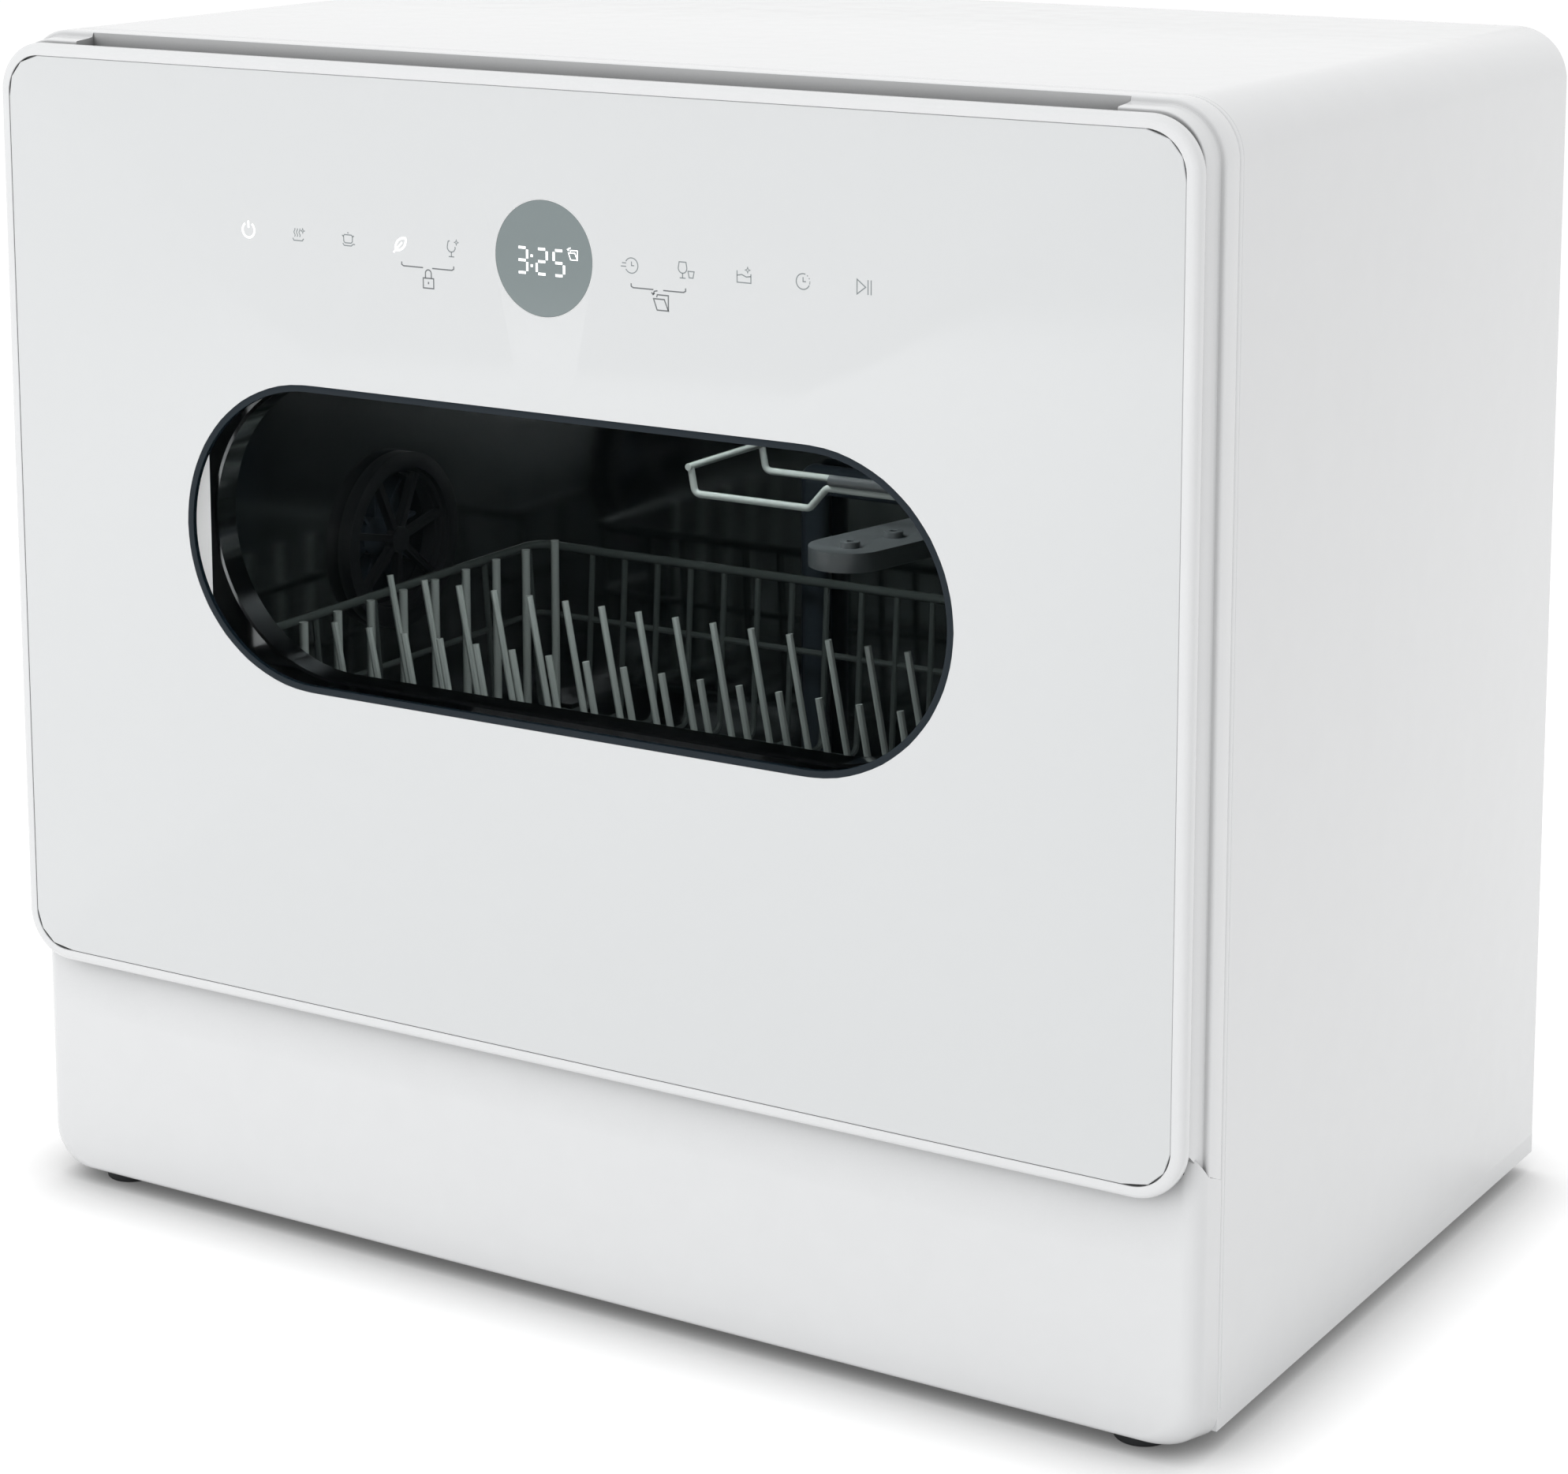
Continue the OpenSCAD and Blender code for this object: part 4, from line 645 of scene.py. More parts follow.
@dataclass
class Wires:
    """Wires bent along paths, as one welded piece.

    Attributes:
        name: The piece's name.
        radius: The wire's radius in millimetres.
        bend: The radius of its bends in millimetres.
        sides: Segments round the wire.
        coat: Its finish.
        paths: The routes in own millimetres.
    """

    name: str
    radius: float
    bend: float = 4.0
    sides: int = 10
    coat: Coat = Coat.WIRE
    paths: list[list[Point]] = field(default_factory=list)

    def add(self, *points: Point) -> "Wires":
        """Adds one route."""
        self.paths.append(list(points))
        return self

    def mesh(self) -> bpy.types.Mesh:
        """Bends and thickens the routes with Geometry Nodes."""
        verts: list[Vector] = []
        edges: list[tuple[int, int]] = []
        for path in self.paths:
            start = len(verts)
            verts += [DATUM.at(*p) for p in path]
            edges += [(start + i, start + i + 1) for i in range(len(path) - 1)]
        line = bpy.data.meshes.new(self.name + " route")
        line.from_pydata(verts, edges, [])
        tree = NodeTree(self.name, {"Wire radius": self.radius * MM, "Bend radius": self.bend * MM})
        curve = tree.node("GeometryNodeMeshToCurve", inputs={0: tree.source.outputs[0]})
        bent = tree.node("GeometryNodeFilletCurve", {"mode": "POLY"}, {"Curve": curve.outputs[0]})
        bent.inputs["Count"].default_value = 5
        tree.group.links.new(tree.source.outputs["Bend radius"], bent.inputs["Radius"])
        ring = tree.node("GeometryNodeCurvePrimitiveCircle", {"mode": "RADIUS"}, {"Resolution": self.sides})
        tree.group.links.new(tree.source.outputs["Wire radius"], ring.inputs["Radius"])
        tube = tree.node("GeometryNodeCurveToMesh", inputs={"Curve": bent.outputs[0],
                                                           "Profile Curve": ring.outputs[0], "Fill Caps": True})
        tree.close(tube.outputs[0], self.coat)
        return tree.apply(line)


def join(name: str, coat: Coat, body: str, nodes: Sequence[str], parts: Sequence[bpy.types.Mesh]
         ) -> bpy.types.Object:
    """Joins meshes that are already in the frame into one piece."""
    shape = bmesh.new()
    for part in parts:
        shape.from_mesh(part)
    mesh = bpy.data.meshes.new(name)
    shape.to_mesh(mesh)
    shape.free()
    return settle(mesh, name, coat, body, nodes, 40.0)


# Cabinet


@dataclass
class Shell:
    """The steel wrap, the bezel and the plinth."""

    half: float = 275.0
    high: float = 491.5
    corner: float = 22.0
    depth: float = 317.5
    rim_low: float = 8.0
    hem: float = 3.0
    hem_thick: float = 2.6
    lip: float = 14.0
    bezel_deep: float = 24.5
    band_in: float = 2.5
    opening_half: float = 250.0
    opening_low: float = 112.0
    opening_high: float = 481.5
    pocket_half: float = 268.0
    plinth_deep: float = 22.0
    plinth_drop: float = 3.2
    plinth_high: float = 104.5
    grip_half: float = 238.0
    seam: tuple[Flat, ...] = ((-3.0, 97.3), (-8.0, 98.5), (-13.5, 101.8), (-17.5, 106.5), (-22.0, 112.0))

    def build(self) -> None:
        """Builds the three pieces."""
        self.wrap()
        self.bezel()
        self.plinth()

    def seam_height(self, y: float) -> float:
        """Height of the joint between plinth and bezel at depth y, a smooth curve through its points."""
        points = self.seam
        if y >= points[0][0]:
            return points[0][1]
        for i, ((y0, z0), (y1, z1)) in enumerate(zip(points, points[1:])):
            if y >= y1:
                t = (y - y0) / (y1 - y0)
                before = (z1 - points[max(i - 1, 0)][1]) / 2
                after = (points[min(i + 2, len(points) - 1)][1] - z0) / 2
                return (z0 * (2 * t ** 3 - 3 * t ** 2 + 1) + before * (t ** 3 - 2 * t ** 2 + t)
                        + z1 * (3 * t ** 2 - 2 * t ** 3) + after * (t ** 3 - t ** 2))
        return points[-1][1]

    def wrap(self) -> None:
        """The folded steel sheet with its rounded hem."""
        arch = Panel(self.half, self.rim_low, self.high, self.corner, steps=20)
        groove = 0.35
        profile = fillet([(-self.hem, self.hem_thick, 0.3), (-self.hem, 0.0, 1.3), (-0.5, 0.0, 0.35),
                          (-0.1, groove, 0.0), (0.3, 0.0, 0.2), (self.depth, 0.0, 0.3), (self.depth, 1.0, 0.3),
                          (0.2, 1.0, 0.0), (0.0, self.hem_thick, 0.0)])
        piece = Piece("outer_wrap_skin", Coat.STEEL_SHELL)
        piece.skin([[(x, y, z) for x, z in arch.arch(inset, self.rim_low)] for y, inset in profile],
                   ring_loop=True, point_loop=False)
        piece.build("cabinet", "outer_wrap")

    def bezel(self) -> None:
        """The moulded frame round the door: flush lip, set-in band, finger recess and sill."""
        arch = Panel(self.half, 0.0, self.high, self.corner, steps=20)
        inner = self.half - self.opening_half
        back = self.band_in
        profile = fillet([(-self.bezel_deep, inner, 0.0), (-self.bezel_deep, back + 0.6, 0.8),
                          (-self.lip - 3.0, back, 3.0), (-self.lip - 0.6, back - 0.4, 0.4),
                          (-self.lip, 0.0, 1.6), (-self.hem - 0.25, 0.0, 0.5), (-self.hem, 1.2, 0.3),
                          (-self.hem, 2.9, 0.0), (-0.05, 2.9, 0.0), (-0.05, inner, 0.0)], 4)
        top_in = self.high - self.opening_high
        rings = []
        for y, inset in profile:
            low = self.seam_height(y) + 0.3
            if inset == inner:
                frame_in = Panel(self.opening_half, 0.0, self.opening_high, 18.0, steps=20)
                rings.append([(x, y, z) for x, z in frame_in.arch(0.0, low)])
            else:
                rings.append([(x, y, z) for x, z in arch.arch(inset, low)])
        piece = Piece("bezel_moulding", Coat.SHELL).skin(rings, ring_loop=True, point_loop=False)
        moulding = piece.build("cabinet", "bezel")
        cut(moulding, [((-self.grip_half, -self.bezel_deep - 2, self.opening_high - 16),
                        (self.grip_half, -self.lip + 0.2, self.high + 2)),
                       ((-self.pocket_half, -self.bezel_deep - 2, 80), (self.pocket_half, -4.5, self.opening_low)),
                       ((-self.pocket_half, -5.0, 80), (self.pocket_half, 2.0, self.opening_low - 7)),
                       ((-12, -self.lip + 1.5, self.opening_high - 1), (12, -self.hem - 0.4, self.high - 1.8))])
        log.info("bezel top bar is %.1f mm high", top_in)
        sill = Piece("bezel_sill", Coat.SHELL)
        sill.box((-self.opening_half - 0.1, -4.5, self.opening_low - 7), (self.opening_half + 0.1, -0.05, self.opening_low))
        sill.build("cabinet", "bezel")

    def plinth(self) -> None:
        """The rounded front of the base, as a shell with a ledge under the door."""
        rings = []
        inner_rings = []
        wall = 3.0
        round_side, round_low = 8.0, 3.5
        for k in range(11):
            turn = math.radians(9 * k)
            y = -self.plinth_deep + round_side * (1 - math.cos(turn))
            side = round_side * (1 - math.sin(turn)) * 0.9
            low = round_low * (1 - math.sin(turn))
            share = (y + self.plinth_deep) / (self.plinth_deep - self.hem)
            rings.append(self._plinth_ring(y, side, low, 19 - 10 * share, 0.0))
            inner_rings.append(self._plinth_ring(max(y, -self.plinth_deep + wall), side, low, 19 - 10 * share, wall))
        rings.append(self._plinth_ring(-self.hem, 0.0, 0.0, 9.0, 0.0))
        inner_rings.append(self._plinth_ring(-self.hem, 0.0, 0.0, 9.0, wall))
        piece = Piece("plinth_moulding", Coat.SHELL)
        piece.skin(rings + inner_rings[::-1], point_loop=False)
        piece.build("cabinet", "plinth", sharp=40.0)
        ledge = Piece("plinth_ledge", Coat.SHELL)
        ledge.box((-263, -self.plinth_deep + 2, self.plinth_high - 3), (263, -9.0, self.plinth_high))
        ledge.build("cabinet", "plinth")

    def _plinth_ring(self, y: float, side: float, low: float, radius: float, wall: float) -> list[Point]:
        """One section of the plinth at depth y.

        Args:
            y: The section's depth.
            side: How far its sides are in from the cabinet's.
            low: How far its bottom is above the base's.
            radius: Its lower corners' radius.
            wall: Added inset for the inside.

        Returns:
            The section's points, from the top of the left side round to the top of the right side.
        """
        hx = self.half - side - wall
        bottom = low - self.plinth_drop + wall
        r = max(radius - wall, 1.5)
        top = self.plinth_high if y < -self.plinth_deep + 0.2 else self.seam_height(y)
        path = [(-hx, top)] + arc(-hx + r, bottom + r, r, 180, 270, 12) + arc(hx - r, bottom + r, r, 270, 360, 12)
        return [(x, y, z) for x, z in path + [(hx, top)]]


# Door


@dataclass
class Door:
    """The glass door: rim, backing, box, glass, window and display; its liner is dressed with the machinery."""

    half: float = 273.5
    low: float = 95.5
    high: float = 487.5
    corner: float = 21.0
    front: float = -32.5
    back: float = -25.5
    rim: float = 5.0
    recess: float = 0.2
    glass: float = 2.0
    backing: float = 2.0
    core_half: float = 244.0
    core_low: float = 114.5
    core_high: float = 478.0
    core_back: float = -5.92
    win_z: float = 295.0
    tunnel_high: float = 66.5
    win_half: float = 178.75
    win_radius: float = 63.0
    ring: float = 2.8
    pane_front: float = -18.6
    display_z: float = 417.8
    display_r: float = 22.75
    strap_x: float = 232.0
    notch: float = 10.0

    def build(self) -> None:
        """Builds the door's visible pieces."""
        self.rim_piece()
        self.backing_piece()
        self.box_walls()
        self.glass_piece()
        self.window()
        self.display()

    def outer(self) -> Panel:
        """The door's silhouette."""
        return Panel(self.half, self.low, self.high, self.corner, self.corner, steps=18)

    def rim_piece(self) -> None:
        """The white rim: a rounded outer edge and a step for the glass."""
        glass_back = self.front + self.recess + self.glass
        wide = 36.0
        profile = fillet([(self.front, self.rim, 0.35), (self.front, 0.0, 2.9), (self.back, 0.0, 2.2),
                          (self.back, wide, 0.0), (glass_back, wide, 0.0), (glass_back, self.rim, 0.0)], 8)
        rim = Piece("door_rim", Coat.SHELL).sweep(self.outer().outline, profile).build("door", "door_frame")
        cut(rim, [((s * self.strap_x - self.notch / 2, -29.9, self.low - 2),
                   (s * self.strap_x + self.notch / 2, self.back + 1, 109.6)) for s in (-1, 1)])

    def backing_piece(self) -> None:
        """The plate behind the glass, between the rim and the window."""
        y0 = self.front + self.recess + self.glass + 0.02
        y1 = y0 + self.backing - 0.04
        hole = Stadium(0.0, self.win_z, self.win_half, self.win_radius)
        steps = 4 * 19
        outer = self._resample(self.outer().outline(35.9), steps)
        inner = self._resample(hole.outline(0.4), steps)
        rings = [[(x, y0, z) for x, z in outer], [(x, y0, z) for x, z in inner],
                 [(x, y1, z) for x, z in inner], [(x, y1, z) for x, z in outer]]
        plate = Piece("door_backing", Coat.SHELL).skin(rings, ring_loop=True)
        plate.build("door", "door_frame")

    def _resample(self, outline: list[Flat], count: int) -> list[Flat]:
        """Points of a closed outline at equal angles round the window's middle."""
        middle = Vector((0.0, self.win_z))
        result = []
        for k in range(count):
            turn = 2 * math.pi * k / count
            ray = Vector((math.cos(turn), math.sin(turn)))
            best = None
            for a, b in zip(outline, outline[1:] + outline[:1]):
                p, q = Vector(a) - middle, Vector(b) - middle
                edge = q - p
                cross = ray.x * edge.y - ray.y * edge.x
                if abs(cross) < 1e-9:
                    continue
                along = (p.x * edge.y - p.y * edge.x) / cross
                share = (p.x * ray.y - p.y * ray.x) / cross
                if along > 0 and -1e-6 <= share <= 1 + 1e-6 and (best is None or along > best):
                    best = along
            spot = middle + ray * best
            result.append((spot.x, spot.y))
        return result

    def box_walls(self) -> None:
        """The door's inner box, the tunnel round the window in black moulding and the pale strip at its left end,
        whose glow is painted light.
        """
        core = Panel(self.core_half, self.core_low, self.core_high, 20.0, 20.0, steps=10)
        walls = Piece("door_box", Coat.SHELL)
        walls.sweep(core.outline, [(self.back - 0.5, 0.0), (self.core_back, 0.0), (self.core_back, 5.0),
                                   (self.back - 0.5, 5.0)])
        walls.build("door", "door_frame")
        tunnel = Piece("window_tunnel", Coat.BLACK)
        low, high = self.win_z - self.tunnel_high, self.win_z + self.tunnel_high
        shape = Panel(self.win_half, low, high, 8.0, 8.0, steps=6)
        y0 = self.front + self.recess + self.glass + 0.02
        tunnel.sweep(shape.outline, [(y0, 0.0), (self.pane_front - 0.05, 0.0), (self.pane_front - 0.05, -1.0),
                                     (y0, -1.0)])
        tunnel.build("door", "door_frame")
        # The end strip's glow is painted light on the tunnel's pale left end.
        strip = Piece("window_end_strip", Coat.STRIP)
        strip.box((-self.win_half + 0.05, y0 + self.backing, low + 6.0),
                  (-self.win_half + 0.6, self.pane_front - 0.1, high - 6.0))
        strip.build("door", "door_frame")

    def glass_piece(self) -> None:
        """The white glass with ground edges, open at the window and the display."""
        y0 = self.front + self.recess
        y1 = y0 + self.glass
        pane = Panel(self.half - self.rim - 0.05, self.low + self.rim + 0.05, self.high - self.rim - 0.05,
                     self.corner - self.rim, self.corner - self.rim, steps=18)
        hole = Stadium(0.0, self.win_z, self.win_half, self.win_radius)
        edge = 0.5
        rounds = [(edge * (1 - math.cos(math.radians(30 * k))), edge * (1 - math.sin(math.radians(30 * k))))
                  for k in range(4)]
        count = 4 * 64
        rings = [[(x, y1, z) for x, z in self._resample(pane.outline(0.0), count)]]
        rings += [[(x, y0 + depth, z) for x, z in self._resample(pane.outline(inset), count)]
                  for depth, inset in reversed(rounds)]
        rings.append([(x, y0, z) for x, z in self._resample(hole.outline(-0.02), count)])
        rings.append([(x, y1, z) for x, z in self._resample(hole.outline(-0.02), count)])
        glass = Piece("door_glass_sheet", Coat.GLASS).skin(rings, ring_loop=True)
        sheet = glass.build("door", "door_glass", sharp=25.0)
        self._drill(sheet, y0 - 1, y1 + 1)

    def _drill(self, sheet: bpy.types.Object, y0: float, y1: float) -> None:
        """Cuts the round hole of the display."""
        drill = Piece("drill", Coat.GLASS)
        drill.turned((0.0, 0.0, self.display_z), 1, [(self.display_r, y0), (self.display_r, y1)], 96)
        tool = drill.build("door")
        modifier = sheet.modifiers.new("drill", "BOOLEAN")
        modifier.object = tool
        modifier.operation = "DIFFERENCE"
        depsgraph = bpy.context.evaluated_depsgraph_get()
        done = bpy.data.meshes.new_from_object(sheet.evaluated_get(depsgraph))
        sheet.modifiers.clear()
        sheet.data = done
        done.polygons.foreach_set("use_smooth", [True] * len(done.polygons))
        done.set_sharp_from_angle(angle=math.radians(25))
        bpy.data.objects.remove(tool)

    def window(self) -> None:
        """The dark ring and the two tinted panes."""
        y0 = self.front + self.recess
        shape = Stadium(0.0, self.win_z, self.win_half, self.win_radius, 40)
        ring = Piece("window_ring_print", Coat.RING)
        ring.sweep(shape.outline, fillet([(y0, 0.02, 0.2), (y0, self.ring, 0.2), (y0 + self.glass, self.ring, 0.0),
                                          (y0 + self.glass, 0.02, 0.0)], 3))
        ring.build("door", "window_ring")
        pane = Stadium(0.0, self.win_z, self.win_half - self.ring - 0.02, self.win_radius - self.ring - 0.02, 40)
        Piece("window_glass", Coat.TINT).plate(pane.outline, y0, y0 + self.glass, 0.15).build("door", "window_pane")
        inner = Panel(self.win_half + 1.2, self.win_z - 65.5, self.win_z + 65.5, 8.0, 8.0, steps=6)
        Piece("inner_glass", Coat.TINT).plate(inner.outline, self.pane_front, self.pane_front + 3, 0.2).build(
            "door", "inner_pane")

    def display(self) -> None:
        """The grey round lens with its pale ring."""
        y0 = self.front + self.recess
        lens = Piece("display_disc", Coat.DISPLAY)
        r = self.display_r - 0.3
        lens.turned((0.0, 0.0, self.display_z), 1, [(r, y0 + self.glass), (r, y0 + 0.15), (r - 0.15, y0)], 96)
        lens.build("door", "display_lens")
        ring = Piece("display_edge", Coat.HALO)
        ring.turned((0.0, 0.0, self.display_z), 1, [(r + 0.03, y0), (r + 0.27, y0), (r + 0.27, y0 + 1.0),
                                                    (r + 0.03, y0 + 1.0), (r + 0.03, y0)], 96)
        ring.build("door")


# Panel symbols


@dataclass
class Symbols:
    """The printed and lit symbols on the glass, drawn as thin strokes."""

    face: float = -32.3
    row: float = 418.3
    lift: float = 0.03
    strokes: list[tuple[list[Flat], float, bool]] = field(default_factory=list)

    def line(self, points: Sequence[Flat], width: float = 0.42, closed: bool = False) -> "Symbols":
        """Adds a stroke in millimetres, x to the right and z up."""
        self.strokes.append((list(points), width, closed))
        return self

    def bake(self, name: str, coat: Coat) -> None:
        """Turns the gathered strokes into one thin raised piece on the glass."""
        piece = Piece(name, coat)
        for points, width, closed in self.strokes:
            self._ribbon(piece, points, width, closed)
        self.strokes = []
        piece.build("door", sharp=60.0)

    def _ribbon(self, piece: Piece, points: list[Flat], width: float, closed: bool) -> None:
        """One stroke as a thin closed band with mitred bends."""
        spots = [Vector(p) for p in points]
        count = len(spots)
        rings = []
        for i, spot in enumerate(spots):
            before = spots[i - 1] if closed or i else spot - (spots[1] - spot)
            after = spots[(i + 1) % count] if closed or i < count - 1 else spot + (spot - spots[i - 1])
            one = (spot - before).normalized()
            two = (after - spot).normalized()
            way = one + two
            way = way.normalized() if way.length > 1e-6 else two
            side = Vector((-way.y, way.x)) * (width / 2 / max(way.dot(two), 0.4))
            left, right = spot + side, spot - side
            rings.append([(left.x, self.face - self.lift, left.y), (right.x, self.face - self.lift, right.y),
                          (right.x, self.face + 0.01, right.y), (left.x, self.face + 0.01, left.y)])
        piece.skin(rings, ring_loop=closed)

    def build(self) -> None:
        """Draws every symbol."""
        self.steam(-118.1)
        self.pot(-93.4)
        self.glass_and_star(-42.9)
        self.quick_clock(39.3)
        self.glass_and_cup(64.3)
        self.rinse_tub(89.8)
        self.clock(115.2)
        self.play(141.2)
        self.bake("panel_symbols", Coat.PRINT)
        self.bracket(-67.3, -42.3, 409.9)
        self.padlock(-54.5, 405.2)
        self.bracket(39.9, 64.2, 410.0)
        self.open_door(53.3, 405.6, 1.0)
        self.bake("panel_brackets", Coat.PRINT_DARK)
        self.power(-143.3)
        self.leaf(-67.9)
        self.bake("panel_lit_symbols", Coat.LIT)
        self.digits("325")
        self.open_door(13.6, 420.3, 0.62, 0.4)
        self.bake("display_digits", Coat.LIT)

    def power(self, x: float) -> None:
        """A broken ring with a bar at its top."""
        self.line(arc(x, self.row, 3.0, 125, 415, 26), 0.75)
        self.line([(x, self.row + 0.9), (x, self.row + 3.7)], 0.75)

    def leaf(self, x: float) -> None:
        """A leaf with its rib."""
        z = self.row - 0.2
        upper = arc(x + 1.83, z - 1.43, 4.11, 79.2, 190.8, 12)
        lower = arc(x - 1.43, z + 1.83, 4.11, -100.8, 10.8, 12)
        self.line(upper + lower[1:-1], 0.75, closed=True)
        self.line([(x - 3.3, z - 3.3), (x + 0.9, z + 0.9)], 0.6)

    def steam(self, x: float) -> None:
        """Three wavy lines and a star over a dish."""
        for k in range(3):
            wave = [(x - 1.9 + 1.25 * k + 0.3 * math.sin(t * 1.1), self.row - 0.9 + 0.42 * t) for t in range(9)]
            self.line(wave, 0.36)
        self.star(x + 2.2, self.row + 1.6, 0.95)
        self.line([(x - 2.8, self.row - 1.5), (x - 2.3, self.row - 2.4), (x + 1.9, self.row - 2.4),
                   (x + 2.6, self.row - 1.5)])

    def star(self, x: float, z: float, r: float) -> None:
        """A small star with four hollow points."""
        points = []
        for k in range(8):
            reach = r if k % 2 == 0 else r * 0.36
            turn = math.radians(45 * k)
            points.append((x + reach * math.cos(turn), z + reach * math.sin(turn)))
        self.line(points, 0.3, closed=True)

    def pot(self, x: float) -> None:
        """A pot with two handles and a lid knob on a burner."""
        z = self.row
        self.line([(x - 1.7, z + 1.7), (x + 1.7, z + 1.7), (x + 2.2, z + 1.2), (x + 2.1, z - 0.9),
                   (x + 1.5, z - 1.5), (x - 1.5, z - 1.5), (x - 2.1, z - 0.9), (x - 2.2, z + 1.2)], closed=True)
        self.line([(x - 2.9, z + 1.5), (x - 2.2, z + 0.9)])
        self.line([(x + 2.2, z + 0.9), (x + 2.9, z + 1.5)])
        self.line([(x - 0.35, z + 2.5), (x + 0.35, z + 2.5)])
        self.line([(x - 2.6, z - 1.7), (x - 1.9, z - 2.6), (x + 1.6, z - 2.6), (x + 2.4, z - 1.9), (x + 3.4, z - 1.9)])

    def wine(self, x: float, z: float, open_top: bool) -> None:
        """A stemmed glass."""
        bowl = [(x - 1.5, z + 2.9)] + arc(x, z + 0.6, 1.9, 175, 365, 12) + [(x + 1.5, z + 2.9)]
        if open_top:
            self.line(bowl[:-2] + [(x + 1.75, z + 0.9)])
            self.line([(x - 1.5, z + 2.9), (x - 0.7, z + 3.0)])
        else:
            self.line(bowl, closed=True)
        self.line([(x, z - 1.3), (x, z - 3.0)])
        self.line([(x - 1.3, z - 3.1), (x + 1.3, z - 3.1)])

    def glass_and_star(self, x: float) -> None:
        """A stemmed glass with a star at its rim."""
        self.wine(x - 0.4, self.row, True)
        self.star(x + 2.0, self.row + 2.6, 1.0)

    def quick_clock(self, x: float) -> None:
        """A clock with speed lines."""
        z = self.row
        self.line(arc(x + 0.8, z, 2.9, 150, -150, 24), 0.4)
        self.line([(x + 0.8, z + 1.5), (x + 0.8, z), (x + 2.0, z)], 0.4)
        self.line([(x - 3.4, z + 0.8), (x - 1.6, z + 0.8)], 0.4)
        self.line([(x - 4.0, z - 0.5), (x - 1.6, z - 0.5)], 0.4)

    def glass_and_cup(self, x: float) -> None:
        """A stemmed glass beside a cup."""
        self.wine(x - 1.4, self.row + 0.2, False)
        z = self.row
        self.line([(x + 1.0, z - 0.2), (x + 3.7, z - 0.2), (x + 3.2, z - 2.6), (x + 1.5, z - 2.6)], closed=True)

    def rinse_tub(self, x: float) -> None:
        """A tub of water with a star above it."""
        z = self.row
        self.line([(x - 3.0, z + 1.9), (x - 3.0, z - 2.5), (x + 3.0, z - 2.5), (x + 3.0, z + 0.9)])
        self.line([(x - 3.0, z + 0.1), (x - 1.0, z + 0.5), (x + 1.0, z - 0.3), (x + 3.0, z)])
        self.star(x + 1.6, z + 2.3, 1.1)

    def clock(self, x: float) -> None:
        """A clock whose dial fades into dots."""
        z = self.row
        self.line(arc(x, z, 2.9, 70, 335, 26))
        for turn in (50, 25, 0, -12):
            a = math.radians(turn)
            spot = (x + 2.9 * math.cos(a), z + 2.9 * math.sin(a))
            self.line([(spot[0] - 0.2, spot[1]), (spot[0] + 0.2, spot[1])])
        self.line([(x, z + 1.6), (x, z), (x + 1.2, z)])

    def play(self, x: float) -> None:
        """A triangle and two bars."""
        z = self.row
        self.line([(x - 3.2, z + 2.7), (x + 0.4, z), (x - 3.2, z - 2.7)], closed=True)
        self.line([(x + 1.4, z + 2.7), (x + 1.4, z - 2.7)])
        self.line([(x + 2.7, z + 2.7), (x + 2.7, z - 2.7)])

    def bracket(self, x0: float, x1: float, z: float) -> None:
        """Two halves of a flat bracket with turned-up ends."""
        middle = (x0 + x1) / 2
        for end, way in ((x0, 1), (x1, -1)):
            self.line([(end, z + 1.6), (end, z + 0.5), (end + way * 0.9, z), (middle - way * 2.2, z)], 0.5)

    def padlock(self, x: float, z: float) -> None:
        """A padlock with its keyhole."""
        self.line([(x - 2.5, z + 0.7), (x + 2.5, z + 0.7), (x + 2.5, z - 3.2), (x - 2.5, z - 3.2)], 0.5, closed=True)
        self.line([(x - 1.4, z + 0.7)] + arc(x, z + 2.6, 1.4, 180, 0, 10) + [(x + 1.4, z + 0.7)], 0.5)
        self.line([(x, z - 0.7), (x, z - 1.6)], 0.6)

    def open_door(self, x: float, z: float, scale: float, width: float = 0.5) -> None:
        """A case with its front swung open and an arrow."""
        def at(points: Sequence[Flat]) -> list[Flat]:
            return [(x + a * scale, z + b * scale) for a, b in points]
        self.line(at([(-2.0, 1.6), (-1.7, 2.6), (3.2, 2.6), (3.2, -3.2)]), width)
        self.line(at([(-3.4, 1.0), (1.4, 1.0), (3.2, -3.2), (-1.8, -3.2)]), width, closed=True)
        self.line(at([(-3.6, 2.6), (-3.0, 3.8), (-1.6, 4.1)]), width)
        self.line(at([(-4.3, 3.3), (-3.6, 2.5), (-2.9, 3.1)]), width)

    def digits(self, text: str) -> None:
        """Seven-segment digits in the display, with the colon after the first."""
        parts = {"0": "abcdef", "1": "bc", "2": "abged", "3": "abgcd", "4": "fgbc", "5": "afgcd", "6": "afgedc",
                 "7": "abc", "8": "abcdefg", "9": "abfgcd"}
        low, high = 411.8, 421.4
        middle = (low + high) / 2
        wide, gap, bar = 4.7, 0.7, 1.0
        for text_digit, x in zip(text, (-12.3, -3.2, 4.7)):
            spots = {"a": ((x + gap, high), (x + wide - gap, high)), "d": ((x + gap, low), (x + wide - gap, low)),
                     "g": ((x + gap, middle), (x + wide - gap, middle)),
                     "b": ((x + wide, high - gap), (x + wide, middle + gap)),
                     "c": ((x + wide, middle - gap), (x + wide, low + gap)),
                     "e": ((x, middle - gap), (x, low + gap)), "f": ((x, high - gap), (x, middle + gap))}
            for part in parts[text_digit]:
                self.line([spots[part][0], spots[part][1]], bar)
        for z in (middle + 1.9, middle - 1.9):
            self.line([(-6.0, z), (-5.0, z)], 1.0)


# Wash chamber and basket


